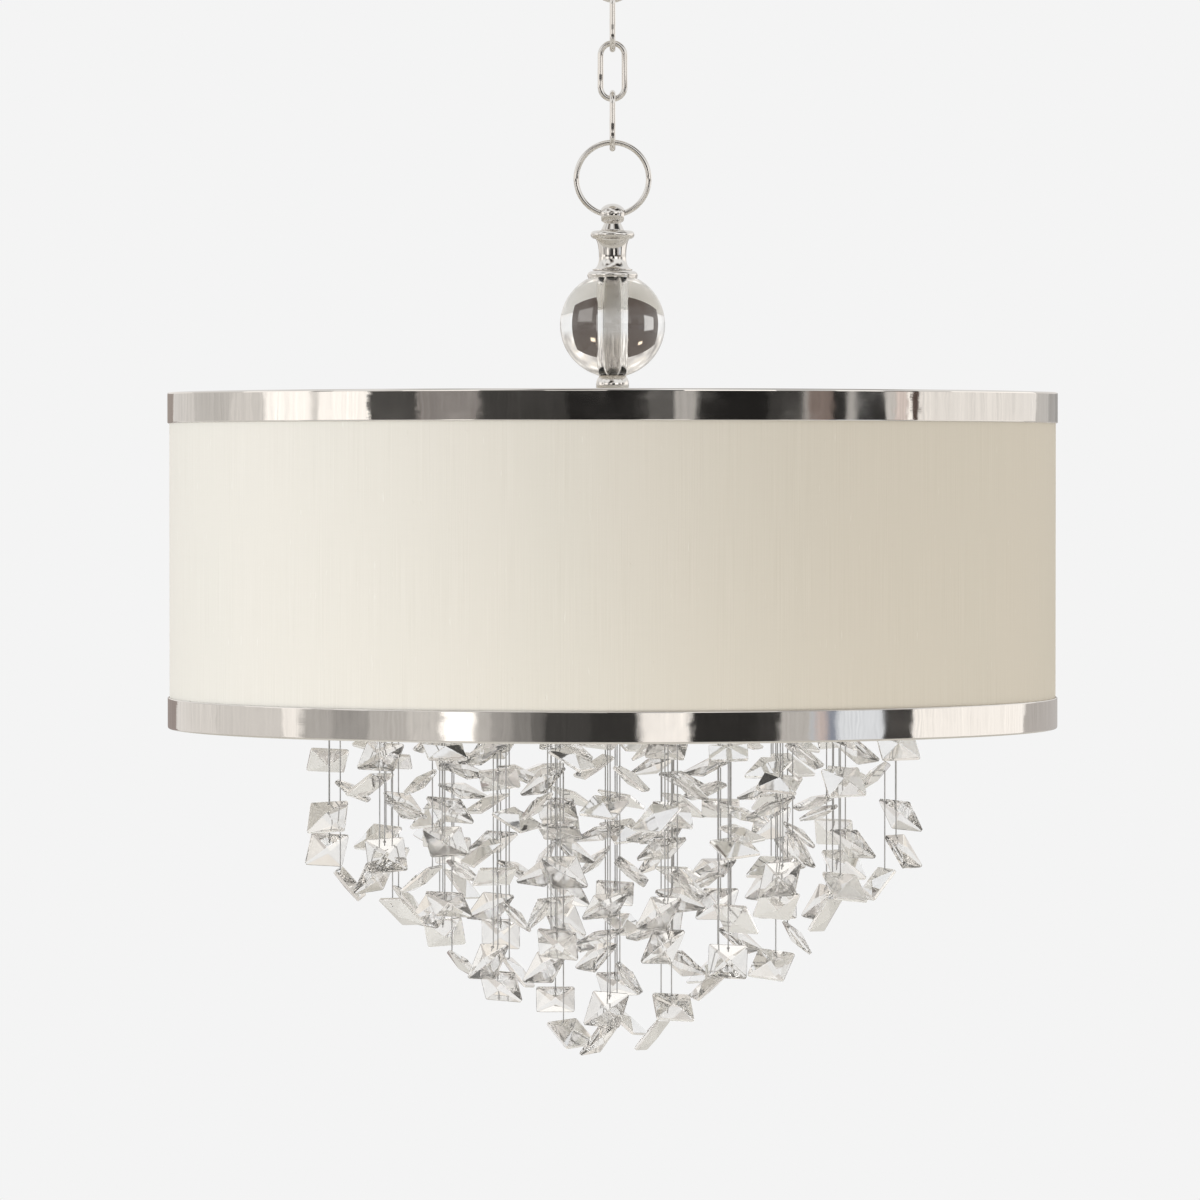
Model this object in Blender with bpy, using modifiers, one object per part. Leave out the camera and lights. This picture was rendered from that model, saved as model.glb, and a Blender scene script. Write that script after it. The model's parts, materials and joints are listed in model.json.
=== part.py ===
"""Drum chandelier: a fabric drum shade between two polished bands, hung from a ceiling canopy by
three chain links and a ring, with a glass ball above the shade and strands of square crystals below.

Metres, +Z up, seen from -Y. The origin lies on the ceiling plane, over the middle of the chandelier.
"""

import math
import random

import bmesh
import bpy
from mathutils import Matrix, Vector
from mathutils.bvhtree import BVHTree

# Gaps
FIT_GAP = 0.0003
CUT_OVERRUN = 0.002
WELD_DISTANCE = 0.000005

# Facets around round pieces, and along arcs
SHADE_STEPS = 48
CANOPY_STEPS = 28
BALL_STEPS = 24
STEM_STEPS = 20
LAMP_STEPS = 16
SCREW_STEPS = 12
RING_STEPS = 28
RACK_STEPS = 36
HOOK_STEPS = 8
WIRE_SIDES = 8
THIN_SIDES = 6
BAR_SIDES = 4
LINE_SIDES = 4
HOOK_SIDES = 3
HEX_SIDES = 6
ARC_STEPS = 4
LINK_BEND_STEPS = 6
CANOPY_ARC_STEPS = 5
BALL_ARC_STEPS = 12
BULB_TIP_STEPS = 5
BULB_NECK_STEPS = 3
CORNER_SEGMENTS = 3
SMOOTH_ANGLE_DEG = 50

# Crossbar and the parts that carry the canopy
CROSSBAR_LENGTH = 0.104
CROSSBAR_WIDTH = 0.018
CROSSBAR_THICKNESS = 0.0025
CROSSBAR_CORNER_RADIUS = 0.004
SLOT_SPACING = 0.070
SLOT_LENGTH = 0.018
SLOT_WIDTH = 0.0048
SLOT_CORNER_SHARE = 0.49
NIPPLE_RADIUS = 0.00495
NIPPLE_BORE_RADIUS = 0.0034
NIPPLE_LENGTH = 0.0290
NUT_ACROSS_FLATS = 0.014
NUT_THICKNESS = 0.0045
GROUND_SCREW_OFFSET = 0.017
GROUND_SCREW_RADIUS = 0.0019
GROUND_HEAD_RADIUS = 0.0038
GROUND_HEAD_HEIGHT = 0.0030
GROUND_HEAD_EDGE = 0.0003

# Canopy, its collar and its loop
CANOPY_RADIUS = 0.0625
CANOPY_HEIGHT = 0.028
CANOPY_LIP = 0.004
CANOPY_FLAT_RADIUS = 0.020
CANOPY_WALL = 0.0012
LOOP_STEM_RADIUS = 0.010
LOOP_STEM_ABOVE_CANOPY = 0.010
LOOP_NECK_HEIGHT = 0.0017
LOOP_BOSS_RADIUS = 0.0055
WIREWAY_RADIUS = 0.0032
COLLAR_RADIUS = 0.0150
COLLAR_HEIGHT = 0.008
COLLAR_EDGE = 0.0012
LOOP_RADIUS = 0.010
LOOP_WIRE_RADIUS = 0.00165

# Chain links and the hanging ring
LINK_WIRE_RADIUS = 0.00165
LINK_LENGTH = 0.0352
LINK_WIDTH = 0.0170
LINK_COUNT = 3
RING_RADIUS = 0.0207
RING_WIRE_RADIUS = 0.0016

# Knob with the eye, and the vase-shaped finial under it
KNOB_RADIUS = 0.0075
KNOB_CROWN = 0.0065
KNOB_WAIST_ABOVE_EYE = 0.0007
KNOB_NECK_RADIUS = 0.0046
KNOB_NECK_DROP = 0.0044
KNOB_FOOT_RADIUS = 0.0065
KNOB_FOOT_DROP = 0.0084
KNOB_FOOT_EDGE = 0.0003
KNOB_STUD_RADIUS = 0.0030
KNOB_STUD_LENGTH = 0.0068
VASE_HEIGHT = 0.0228
VASE_DISC_RADIUS = 0.0125
VASE_DISC_THICKNESS = 0.0046
VASE_WAIST_RADIUS = 0.00775
VASE_WAIST_HEIGHT = 0.0077
VASE_FOOT_RADIUS = 0.01135
VASE_FOOT_EDGE = 0.0008
VASE_SOCKET_DEPTH = 0.0137
WIRE_INLET_RADIUS = 0.0019
WIRE_INLET_HEIGHT = 0.0060

# Glass ball, its cup and the bead under it
BALL_RADIUS = 0.030
BALL_BORE_RADIUS = 0.00625
CUP_ROUND_RADIUS = 0.0023
CUP_RADIUS = 0.01435
CUP_CROWN = 0.0006
CUP_RIM_END_DEG = -24
BEAD_TOP_RADIUS = 0.00935
BEAD_FOOT_RADIUS = 0.0079
BEAD_HEIGHT = 0.0109

# Stem pipe and the nuts on it
PIPE_RADIUS = 0.005
PIPE_BORE_RADIUS = 0.0033
PIPE_TAIL = 0.0012
WASHER_RADIUS = 0.011
WASHER_THICKNESS = 0.0012

# Drum shade
SHADE_RADIUS = 0.254
SHADE_HEIGHT = 0.191
BAND_HEIGHT = 0.0175
BAND_THICKNESS = 0.0008
FABRIC_THICKNESS = 0.0005
LINER_THICKNESS = 0.0008
SHADE_WIRE_RADIUS = 0.002
HUB_RADIUS = 0.013
SPOKE_COUNT = 3
FIRST_SPOKE_DEG = 90

# Lamp cluster with its sockets and bulbs
LAMP_COUNT = 3
FIRST_LAMP_DEG = 30
CLUSTER_ABOVE_RACK = 0.026
CLUSTER_HEIGHT = 0.018
CLUSTER_RADIUS = 0.020
CLUSTER_EDGE = 0.003
ARM_RADIUS = 0.004
ARM_BEND_RADIUS = 0.014
ARM_RISE = 0.006
LAMP_CIRCLE_RADIUS = 0.062
ARM_CUP_RADIUS = 0.0125
ARM_CUP_HEIGHT = 0.003
SOCKET_RADIUS = 0.011
SOCKET_HEIGHT = 0.030
SOCKET_FLOOR = 0.008
SOCKET_EDGE = 0.001
BULB_BASE_RADIUS = 0.006
BULB_BASE_LENGTH = 0.0235
BULB_RADIUS = 0.0175
BULB_GLASS_LENGTH = 0.070
BULB_BELLY_HEIGHT = 0.026
BULB_TIP_RADIUS = 0.0012

# Crystal rack
RACK_ABOVE_RIM = 0.026
RACK_RADIUS = 0.168
RACK_WIRE_RADIUS = 0.0022
BAR_RADIUS = 0.0016
BARS_EACH_SIDE = 5
LAST_BAR_INSET = 0.008
ROWS_EACH_SIDE = 2
LAST_ROW_INSET = 0.052
TIE_RADIUS = 0.0019
WELD_STEP = 0.0007
RACK_HUB_RADIUS = 0.012
RACK_HUB_HEIGHT = 0.006

# Crystal strands
LAST_STRAND_INSET = 0.006
HOOK_WIRE_RADIUS = 0.0008
HANGER_RADIUS = 0.0050
HANGER_THICKNESS = 0.0014
LINES_PER_STRAND = 3
LINE_RADIUS = 0.00035
LINE_CIRCLE_RADIUS = 0.0042
LINE_TAIL = 0.0030
CRYSTAL_CORNERS = 4
CRYSTAL_SIDE = 0.022
CRYSTAL_THICKNESS = 0.0076
CRYSTAL_GIRDLE = 0.0016
CRYSTAL_HOLE_INSET = 0.0026
CRYSTAL_PITCH = 0.0182
CRYSTAL_PITCH_JITTER = 0.0035
FIRST_CRYSTAL_DEPTH = 0.002
FIRST_CRYSTAL_SPREAD = 0.010
BOWL_DEPTH = 0.170
BOWL_EDGE_DEPTH = 0.082
BOWL_FLAT_INSET = 0.111
BOWL_POWER = 0.8
FREE_TURN_INSET = 0.054
FREE_TURN_DEG = 60
CRYSTAL_OVERHANG = 0.010
CRYSTAL_GAP = 0.0006
SWAY_LIMIT_DEG = 15
LEAN_LIMIT_DEG = 28
ROLL_LIMIT_DEG = 9
DROOP_RANGE_DEG = (18, 42)
LAST_DROOP_RANGE_DEG = (36, 60)
LAYOUT_TRIES = 200
LAYOUT_SEED = 2

# Heights of the joints and seats, from the ceiling down
CANOPY_FLOOR_Z = -CANOPY_HEIGHT
COLLAR_TOP_Z = CANOPY_FLOOR_Z - FIT_GAP
COLLAR_FOOT_Z = COLLAR_TOP_Z - COLLAR_HEIGHT
LOOP_NECK_Z = COLLAR_FOOT_Z - LOOP_NECK_HEIGHT
LOOP_CENTRE_Z = LOOP_NECK_Z - LOOP_WIRE_RADIUS - LOOP_RADIUS
LOOP_EYE_Z = LOOP_CENTRE_Z - LOOP_RADIUS
LINK_TRAVEL = LINK_LENGTH - 2 * LINK_WIRE_RADIUS
LINK_STEP = LINK_TRAVEL - 2 * LINK_WIRE_RADIUS - FIT_GAP
FIRST_LINK_Z = LOOP_EYE_Z + LOOP_WIRE_RADIUS + LINK_WIRE_RADIUS + FIT_GAP
LAST_LINK_EYE_Z = FIRST_LINK_Z - (LINK_COUNT - 1) * LINK_STEP - LINK_TRAVEL
RING_TOP_Z = LAST_LINK_EYE_Z + LINK_WIRE_RADIUS + RING_WIRE_RADIUS + FIT_GAP
KNOB_EYE_Z = RING_TOP_Z - 2 * RING_RADIUS
KNOB_FOOT_Z = KNOB_EYE_Z - KNOB_FOOT_DROP - KNOB_FOOT_EDGE
VASE_TOP_Z = KNOB_FOOT_Z - FIT_GAP
VASE_FOOT_Z = VASE_TOP_Z - VASE_HEIGHT
CUP_TOP_Z = VASE_FOOT_Z - FIT_GAP
BALL_CENTRE_Z = CUP_TOP_Z - CUP_CROWN - BALL_RADIUS
SEAT_RADIUS = BALL_RADIUS + FIT_GAP
BEAD_TOP_Z = BALL_CENTRE_Z - math.sqrt(SEAT_RADIUS**2 - BEAD_TOP_RADIUS**2)
BEAD_FOOT_Z = BEAD_TOP_Z - BEAD_HEIGHT
HUB_TOP_Z = BEAD_FOOT_Z - FIT_GAP
SPOKE_Z = HUB_TOP_Z - SHADE_WIRE_RADIUS
HUB_FOOT_Z = SPOKE_Z - SHADE_WIRE_RADIUS
SHADE_TOP_Z = HUB_TOP_Z + FIT_GAP + BAND_THICKNESS
SHADE_RIM_Z = SHADE_TOP_Z - SHADE_HEIGHT
WASHER_TOP_Z = HUB_FOOT_Z - FIT_GAP
SHADE_NUT_TOP_Z = WASHER_TOP_Z - WASHER_THICKNESS - FIT_GAP
RACK_Z = SHADE_RIM_Z + RACK_ABOVE_RIM
CLUSTER_Z = RACK_Z + CLUSTER_ABOVE_RACK
RACK_NUT_TOP_Z = RACK_Z - RACK_HUB_HEIGHT / 2 - FIT_GAP
PIPE_TOP_Z = VASE_FOOT_Z + VASE_SOCKET_DEPTH - FIT_GAP
PIPE_FOOT_Z = RACK_NUT_TOP_Z - NUT_THICKNESS - PIPE_TAIL

# Radii of the shade's layers, from the outside in
BAND_INNER_RADIUS = SHADE_RADIUS - BAND_THICKNESS
FABRIC_RADIUS = BAND_INNER_RADIUS - FIT_GAP
LINER_RADIUS = FABRIC_RADIUS - FABRIC_THICKNESS - FIT_GAP
LINER_INNER_RADIUS = LINER_RADIUS - LINER_THICKNESS
SHADE_WIRE_CIRCLE = LINER_INNER_RADIUS - FIT_GAP - SHADE_WIRE_RADIUS
LAYER_SETBACK = BAND_THICKNESS + FIT_GAP

# Spread of the rack's bars and rows, and the circles that bound the strands and their crystals
BAR_PITCH = (RACK_RADIUS - LAST_BAR_INSET) / BARS_EACH_SIDE
ROW_PITCH = (RACK_RADIUS - LAST_ROW_INSET) / ROWS_EACH_SIDE
TIE_OFFSET = ROW_PITCH / 2
STRAND_CIRCLE_RADIUS = RACK_RADIUS - LAST_STRAND_INSET
BOWL_FLAT_RADIUS = RACK_RADIUS - BOWL_FLAT_INSET
FREE_RADIUS = RACK_RADIUS - FREE_TURN_INSET
CRYSTAL_REACH_RADIUS = RACK_RADIUS + CRYSTAL_OVERHANG

# Colour, roughness, metallic and transmission of each finish
FINISHES = {
    "nickel": ((0.80, 0.79, 0.77), 0.07, 1.0, 0.0),
    "zinc": ((0.60, 0.61, 0.62), 0.35, 1.0, 0.0),
    "green": ((0.04, 0.30, 0.10), 0.40, 0.6, 0.0),
    "glass": ((0.97, 0.98, 0.98), 0.02, 0.0, 1.0),
    "crystal": ((0.94, 0.95, 0.96), 0.02, 0.0, 1.0),
    "silk": ((0.78, 0.75, 0.66), 0.80, 0.0, 0.0),
    "liner": ((0.86, 0.85, 0.81), 0.60, 0.0, 0.0),
    "white_metal": ((0.82, 0.82, 0.80), 0.40, 0.0, 0.0),
    "socket": ((0.05, 0.05, 0.05), 0.45, 0.0, 0.0),
    "bulb": ((0.90, 0.90, 0.88), 0.15, 0.0, 0.6),
}


def clear_scene():
    for obj in list(bpy.data.objects):
        bpy.data.objects.remove(obj, do_unlink=True)


def new_collection(name):
    collection = bpy.data.collections.new(name)
    bpy.context.scene.collection.children.link(collection)
    return collection


clear_scene()
PARTS = new_collection("drum_chandelier")
CUTTERS = new_collection("cutters")


# Helpers that make objects


def new_material(name, finish):
    colour, roughness, metallic, transmission = FINISHES[finish]
    material = bpy.data.materials.new(name + "_" + finish)
    material.use_nodes = True
    shader = material.node_tree.nodes["Principled BSDF"]
    shader.inputs["Base Color"].default_value = (*colour, 1)
    shader.inputs["Roughness"].default_value = roughness
    shader.inputs["Metallic"].default_value = metallic
    shader.inputs["Transmission Weight"].default_value = transmission
    material.diffuse_color = (*colour, 1)
    return material


def new_part(name, mesh, finish, place=(0, 0, 0)):
    obj = bpy.data.objects.new(name, mesh)
    PARTS.objects.link(obj)
    obj.location = place
    mesh.materials.clear()
    mesh.materials.append(new_material(name, finish))
    return obj


def new_cutter(name, mesh, place=(0, 0, 0)):
    obj = bpy.data.objects.new(name, mesh)
    CUTTERS.objects.link(obj)
    obj.location = place
    obj.hide_render = True
    obj.display_type = "WIRE"
    return obj


def mesh_of(name, bm):
    mesh = bpy.data.meshes.new(name)
    bm.to_mesh(mesh)
    bm.free()
    return mesh


def box_mesh(name, length, width, height, corner_radius=0):
    """A box about its centre, with its upright edges rounded where a corner radius is given."""
    bm = bmesh.new()
    bmesh.ops.create_cube(bm, size=1)
    bmesh.ops.scale(bm, vec=(length, width, height), verts=bm.verts)
    if corner_radius:
        upright = [e for e in bm.edges if abs(e.verts[0].co.z - e.verts[1].co.z) > height / 2]
        bmesh.ops.bevel(
            bm, geom=upright, offset=corner_radius, segments=CORNER_SEGMENTS, profile=0.5, affect="EDGES"
        )
    return mesh_of(name, bm)


def rod_mesh(name, radius, start, end, sides):
    """A straight round rod from one point to another."""
    start, end = Vector(start), Vector(end)
    along = end - start
    bm = bmesh.new()
    turn = along.to_track_quat("Z", "Y").to_matrix().to_4x4()
    bmesh.ops.create_cone(
        bm, cap_ends=True, segments=sides, radius1=radius, radius2=radius, depth=along.length,
        matrix=Matrix.Translation((start + end) / 2) @ turn,
    )
    mesh = mesh_of(name, bm)
    mesh.shade_smooth()
    mesh.set_sharp_from_angle(angle=math.radians(SMOOTH_ANGLE_DEG))
    return mesh


def profile_mesh(name, profile, closed):
    """The points of a turned profile, joined by edges. Each point is (radius, height)."""
    count = len(profile)
    edges = [(i, i + 1) for i in range(count - 1)]
    if closed:
        edges.append((count - 1, 0))
    mesh = bpy.data.meshes.new(name)
    mesh.from_pydata([(r, 0, z) for r, z in profile], edges, [])
    return mesh


def add_screw(obj, steps):
    screw = obj.modifiers.new("turned", "SCREW")
    screw.steps = steps
    screw.render_steps = steps
    screw.use_merge_vertices = True
    screw.merge_threshold = WELD_DISTANCE
    screw.use_smooth_shade = True


def turned(name, profile, finish, steps, closed=True, place=(0, 0, 0)):
    """A turned piece. Its profile runs down the outer side, and a closed one comes back up the bore."""
    obj = new_part(name, profile_mesh(name, profile, closed), finish, place)
    add_screw(obj, steps)
    return obj


def baked(obj):
    """The object with its modifiers applied, or a curve turned into a closed mesh."""
    bpy.context.view_layer.update()
    evaluated = obj.evaluated_get(bpy.context.evaluated_depsgraph_get())
    mesh = bpy.data.meshes.new_from_object(evaluated)
    bm = bmesh.new()
    bm.from_mesh(mesh)
    bmesh.ops.remove_doubles(bm, verts=bm.verts, dist=WELD_DISTANCE)
    bm.to_mesh(mesh)
    bm.free()
    if obj.type == "MESH":
        obj.modifiers.clear()
        obj.data = mesh
        return obj
    solid = bpy.data.objects.new(obj.name, mesh)
    for collection in obj.users_collection:
        collection.objects.link(solid)
    solid.matrix_world = obj.matrix_world.copy()
    bpy.data.objects.remove(obj)
    return solid


def add_boolean(obj, other, operation):
    modifier = obj.modifiers.new(other.name, "BOOLEAN")
    modifier.solver = "EXACT"
    modifier.operation = operation
    modifier.object = other


def joined(obj, others):
    """One closed body made of an object and the ones that it overlaps."""
    for other in others:
        add_boolean(obj, other, "UNION")
    obj = baked(obj)
    for other in others:
        bpy.data.objects.remove(other)
    return obj


def wire_curve(name, points, radius, cyclic, collection):
    """A round wire along a list of points."""
    curve = bpy.data.curves.new(name, "CURVE")
    curve.dimensions = "3D"
    curve.bevel_depth = radius
    curve.bevel_resolution = 2
    curve.use_fill_caps = not cyclic
    spline = curve.splines.new("POLY")
    spline.points.add(len(points) - 1)
    for point, place in zip(spline.points, points):
        point.co = (*place, 1)
    spline.use_cyclic_u = cyclic
    obj = bpy.data.objects.new(name, curve)
    collection.objects.link(obj)
    return obj


def torus_mesh(name, radius, wire_radius, steps, sides):
    bpy.ops.mesh.primitive_torus_add(
        major_radius=radius, minor_radius=wire_radius, major_segments=steps, minor_segments=sides
    )
    obj = bpy.context.object
    mesh = obj.data
    mesh.name = name
    mesh.shade_smooth()
    bpy.data.objects.remove(obj)
    return mesh


# Helpers for profiles


def arc(centre_r, centre_z, half_width, half_height, start_deg, end_deg, steps=ARC_STEPS):
    """Points along an ellipse, with 0 degrees outward and 90 degrees up."""
    points = []
    for i in range(steps + 1):
        angle = math.radians(start_deg + (end_deg - start_deg) * i / steps)
        points.append((centre_r + half_width * math.cos(angle), centre_z + half_height * math.sin(angle)))
    return points


def ring_profile(bore, radius, foot, top, edge=0):
    """A ring with flat ends, its outer edges chamfered where an edge is given."""
    if not edge:
        return [(radius, top), (radius, foot), (bore, foot), (bore, top)]
    return [
        (radius - edge, top), (radius, top - edge), (radius, foot + edge), (radius - edge, foot),
        (bore, foot), (bore, top),
    ]


def polar(radius, angle, height=0):
    return Vector((radius * math.cos(angle), radius * math.sin(angle), height))


# Crossbar, nipple, nuts


def make_crossbar():
    middle_z = -CROSSBAR_THICKNESS / 2
    mesh = box_mesh(
        "ceiling_crossbar", CROSSBAR_LENGTH, CROSSBAR_WIDTH, CROSSBAR_THICKNESS, CROSSBAR_CORNER_RADIUS
    )
    bar = new_part("ceiling_crossbar", mesh, "zinc", (0, 0, middle_z))
    cut_height = CROSSBAR_THICKNESS + 2 * CUT_OVERRUN
    for side in (-1, 1):
        slot = box_mesh("slot", SLOT_LENGTH, SLOT_WIDTH, cut_height, SLOT_CORNER_SHARE * SLOT_WIDTH)
        place = (side * SLOT_SPACING / 2, 0, middle_z)
        add_boolean(bar, new_cutter("crossbar_slot", slot, place), "DIFFERENCE")
    holes = (("nipple_hole", 0, NIPPLE_RADIUS), ("ground_hole", GROUND_SCREW_OFFSET, GROUND_SCREW_RADIUS))
    for name, x, radius in holes:
        hole = rod_mesh(name, radius + FIT_GAP, (x, 0, -cut_height), (x, 0, cut_height), STEM_STEPS)
        add_boolean(bar, new_cutter(name, hole), "DIFFERENCE")


def make_ground_screw():
    """A small screw for the earth wire, up through the crossbar."""
    head_top = -CROSSBAR_THICKNESS - FIT_GAP
    head_foot = head_top - GROUND_HEAD_HEIGHT
    profile = [
        (0, -FIT_GAP), (GROUND_SCREW_RADIUS, -FIT_GAP), (GROUND_SCREW_RADIUS, head_top),
        (GROUND_HEAD_RADIUS, head_top), (GROUND_HEAD_RADIUS, head_foot + GROUND_HEAD_EDGE),
        (GROUND_HEAD_RADIUS - GROUND_HEAD_EDGE, head_foot), (0, head_foot),
    ]
    turned("ground_screw", profile, "green", SCREW_STEPS, False, (GROUND_SCREW_OFFSET, 0, 0))


def make_hex_nut(name, top_z, bore_radius):
    """A hex nut whose top face lies at the given height."""
    corner_radius = NUT_ACROSS_FLATS / math.sqrt(3)
    mesh = rod_mesh(name, corner_radius, (0, 0, top_z - NUT_THICKNESS), (0, 0, top_z), HEX_SIDES)
    nut = new_part(name, mesh, "zinc")
    foot, top = top_z - NUT_THICKNESS - CUT_OVERRUN, top_z + CUT_OVERRUN
    bore = rod_mesh(name + "_bore", bore_radius + FIT_GAP, (0, 0, foot), (0, 0, top), STEM_STEPS)
    add_boolean(nut, new_cutter(name + "_bore", bore), "DIFFERENCE")


def make_nipple():
    top = -FIT_GAP
    profile = ring_profile(NIPPLE_BORE_RADIUS, NIPPLE_RADIUS, top - NIPPLE_LENGTH, top)
    turned("canopy_nipple", profile, "zinc", STEM_STEPS)


# Canopy, collar, loop


def make_canopy():
    """A bell against the ceiling: an outer skin down to the flat middle, and the same shape back inside."""
    hole = LOOP_STEM_RADIUS + FIT_GAP
    flat, lip = CANOPY_FLAT_RADIUS, -CANOPY_LIP
    depth = CANOPY_HEIGHT - CANOPY_LIP
    inner_width = CANOPY_RADIUS - CANOPY_WALL - flat
    outer = arc(flat, lip, CANOPY_RADIUS - flat, depth, 0, -90, CANOPY_ARC_STEPS)
    inner = arc(flat, lip, inner_width, depth - CANOPY_WALL, -90, 0, CANOPY_ARC_STEPS)
    profile = [(CANOPY_RADIUS, 0), *outer, (hole, CANOPY_FLOOR_Z), (hole, CANOPY_FLOOR_Z + CANOPY_WALL)]
    profile += [*inner, (CANOPY_RADIUS - CANOPY_WALL, 0)]
    turned("canopy_dome", profile, "nickel", CANOPY_STEPS)


def make_collar():
    bore = LOOP_STEM_RADIUS + FIT_GAP
    profile = ring_profile(bore, COLLAR_RADIUS, COLLAR_FOOT_Z, COLLAR_TOP_Z, COLLAR_EDGE)
    turned("canopy_collar", profile, "nickel", STEM_STEPS)


def make_canopy_loop():
    """The threaded stem that carries the collar, with a round loop below and the wireway through it."""
    stem_top = CANOPY_FLOOR_Z + LOOP_STEM_ABOVE_CANOPY
    socket = NIPPLE_RADIUS + FIT_GAP
    socket_floor = -2 * FIT_GAP - NIPPLE_LENGTH
    boss_foot = LOOP_NECK_Z - 2 * LOOP_WIRE_RADIUS
    profile = [
        (LOOP_STEM_RADIUS, stem_top), (LOOP_STEM_RADIUS, LOOP_NECK_Z), (LOOP_BOSS_RADIUS, boss_foot),
        (WIREWAY_RADIUS, boss_foot), (WIREWAY_RADIUS, socket_floor), (socket, socket_floor),
        (socket, stem_top),
    ]
    stem = turned("canopy_loop", profile, "nickel", STEM_STEPS)
    ring = torus_mesh("loop_ring", LOOP_RADIUS, LOOP_WIRE_RADIUS, STEM_STEPS, WIRE_SIDES)
    ring.transform(Matrix.Translation((0, 0, LOOP_CENTRE_Z)) @ Matrix.Rotation(math.pi / 2, 4, "X"))
    stem = joined(stem, [new_cutter("loop_ring", ring)])
    start, end = (0, 0, socket_floor + FIT_GAP), (0, 0, boss_foot - CUT_OVERRUN)
    wireway = rod_mesh("wireway", WIREWAY_RADIUS, start, end, STEM_STEPS)
    add_boolean(stem, new_cutter("wireway", wireway), "DIFFERENCE")


# Chain and ring


def quarter_turn(i):
    """How far the link of that number is turned, so that each lies across the one above."""
    return math.radians(90 if i % 2 == 0 else 0)


def link_points(top):
    """The middle line of a link's wire, with the middle of its upper bend at the given height."""
    bend = LINK_WIDTH / 2 - LINK_WIRE_RADIUS
    points = []
    for start_deg, centre in ((0, top - bend), (180, top + bend - LINK_TRAVEL)):
        for i in range(LINK_BEND_STEPS + 1):
            angle = math.radians(start_deg + 180 * i / LINK_BEND_STEPS)
            points.append((bend * math.cos(angle), 0, centre + bend * math.sin(angle)))
    return points


def make_chain():
    """The links. Each has its origin in the middle of the wire that it hangs on and swings about."""
    carrier_z = LOOP_EYE_Z
    for i in range(LINK_COUNT):
        name = f"chain_link_{i + 1}"
        top_z = FIRST_LINK_Z - i * LINK_STEP
        link = baked(wire_curve(name, link_points(top_z - carrier_z), LINK_WIRE_RADIUS, True, PARTS))
        link.name = name
        link.data.materials.clear()
        link.data.materials.append(new_material(name, "nickel"))
        link.data.shade_smooth()
        link.location = (0, 0, carrier_z)
        link.rotation_euler = (0, 0, quarter_turn(i))
        carrier_z = top_z - LINK_TRAVEL


def make_hanging_ring():
    """The ring, with its origin in the last link's lower wire."""
    middle = RING_TOP_Z - RING_RADIUS - LAST_LINK_EYE_Z
    mesh = torus_mesh("hanging_ring", RING_RADIUS, RING_WIRE_RADIUS, RING_STEPS, WIRE_SIDES)
    mesh.transform(Matrix.Translation((0, 0, middle)) @ Matrix.Rotation(math.pi / 2, 4, "X"))
    ring = new_part("hanging_ring", mesh, "nickel", (0, 0, LAST_LINK_EYE_Z))
    ring.rotation_euler = (0, 0, quarter_turn(LINK_COUNT))


# Knob, finial, ball, bead


def make_eye_knob():
    """A round knob whose cross hole lets the ring's curved wire through, with a stud below."""
    waist = KNOB_WAIST_ABOVE_EYE
    crown = arc(0, waist, KNOB_RADIUS, KNOB_CROWN - waist, 90, 0)
    under = arc(KNOB_NECK_RADIUS, waist, KNOB_RADIUS - KNOB_NECK_RADIUS, KNOB_NECK_DROP + waist, 0, -90)
    foot = -KNOB_FOOT_DROP
    stud_foot = foot - KNOB_FOOT_EDGE - KNOB_STUD_LENGTH
    profile = [*crown, *under[1:], (KNOB_FOOT_RADIUS, foot), (KNOB_FOOT_RADIUS, foot - KNOB_FOOT_EDGE)]
    profile += [(KNOB_STUD_RADIUS, foot - KNOB_FOOT_EDGE), (KNOB_STUD_RADIUS, stud_foot), (0, stud_foot)]
    knob = turned("eye_knob", profile, "nickel", STEM_STEPS, False, (0, 0, KNOB_EYE_Z))
    wire_rise = RING_RADIUS - math.sqrt(RING_RADIUS**2 - KNOB_RADIUS**2)
    eye_radius = RING_WIRE_RADIUS + wire_rise + FIT_GAP
    reach = KNOB_RADIUS + CUT_OVERRUN
    hole = rod_mesh("knob_eye", eye_radius, (-reach, 0, 0), (reach, 0, 0), STEM_STEPS)
    eye = new_cutter("knob_eye", hole, (0, 0, KNOB_EYE_Z))
    eye.rotation_euler = (0, 0, quarter_turn(LINK_COUNT))
    add_boolean(knob, eye, "DIFFERENCE")


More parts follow.
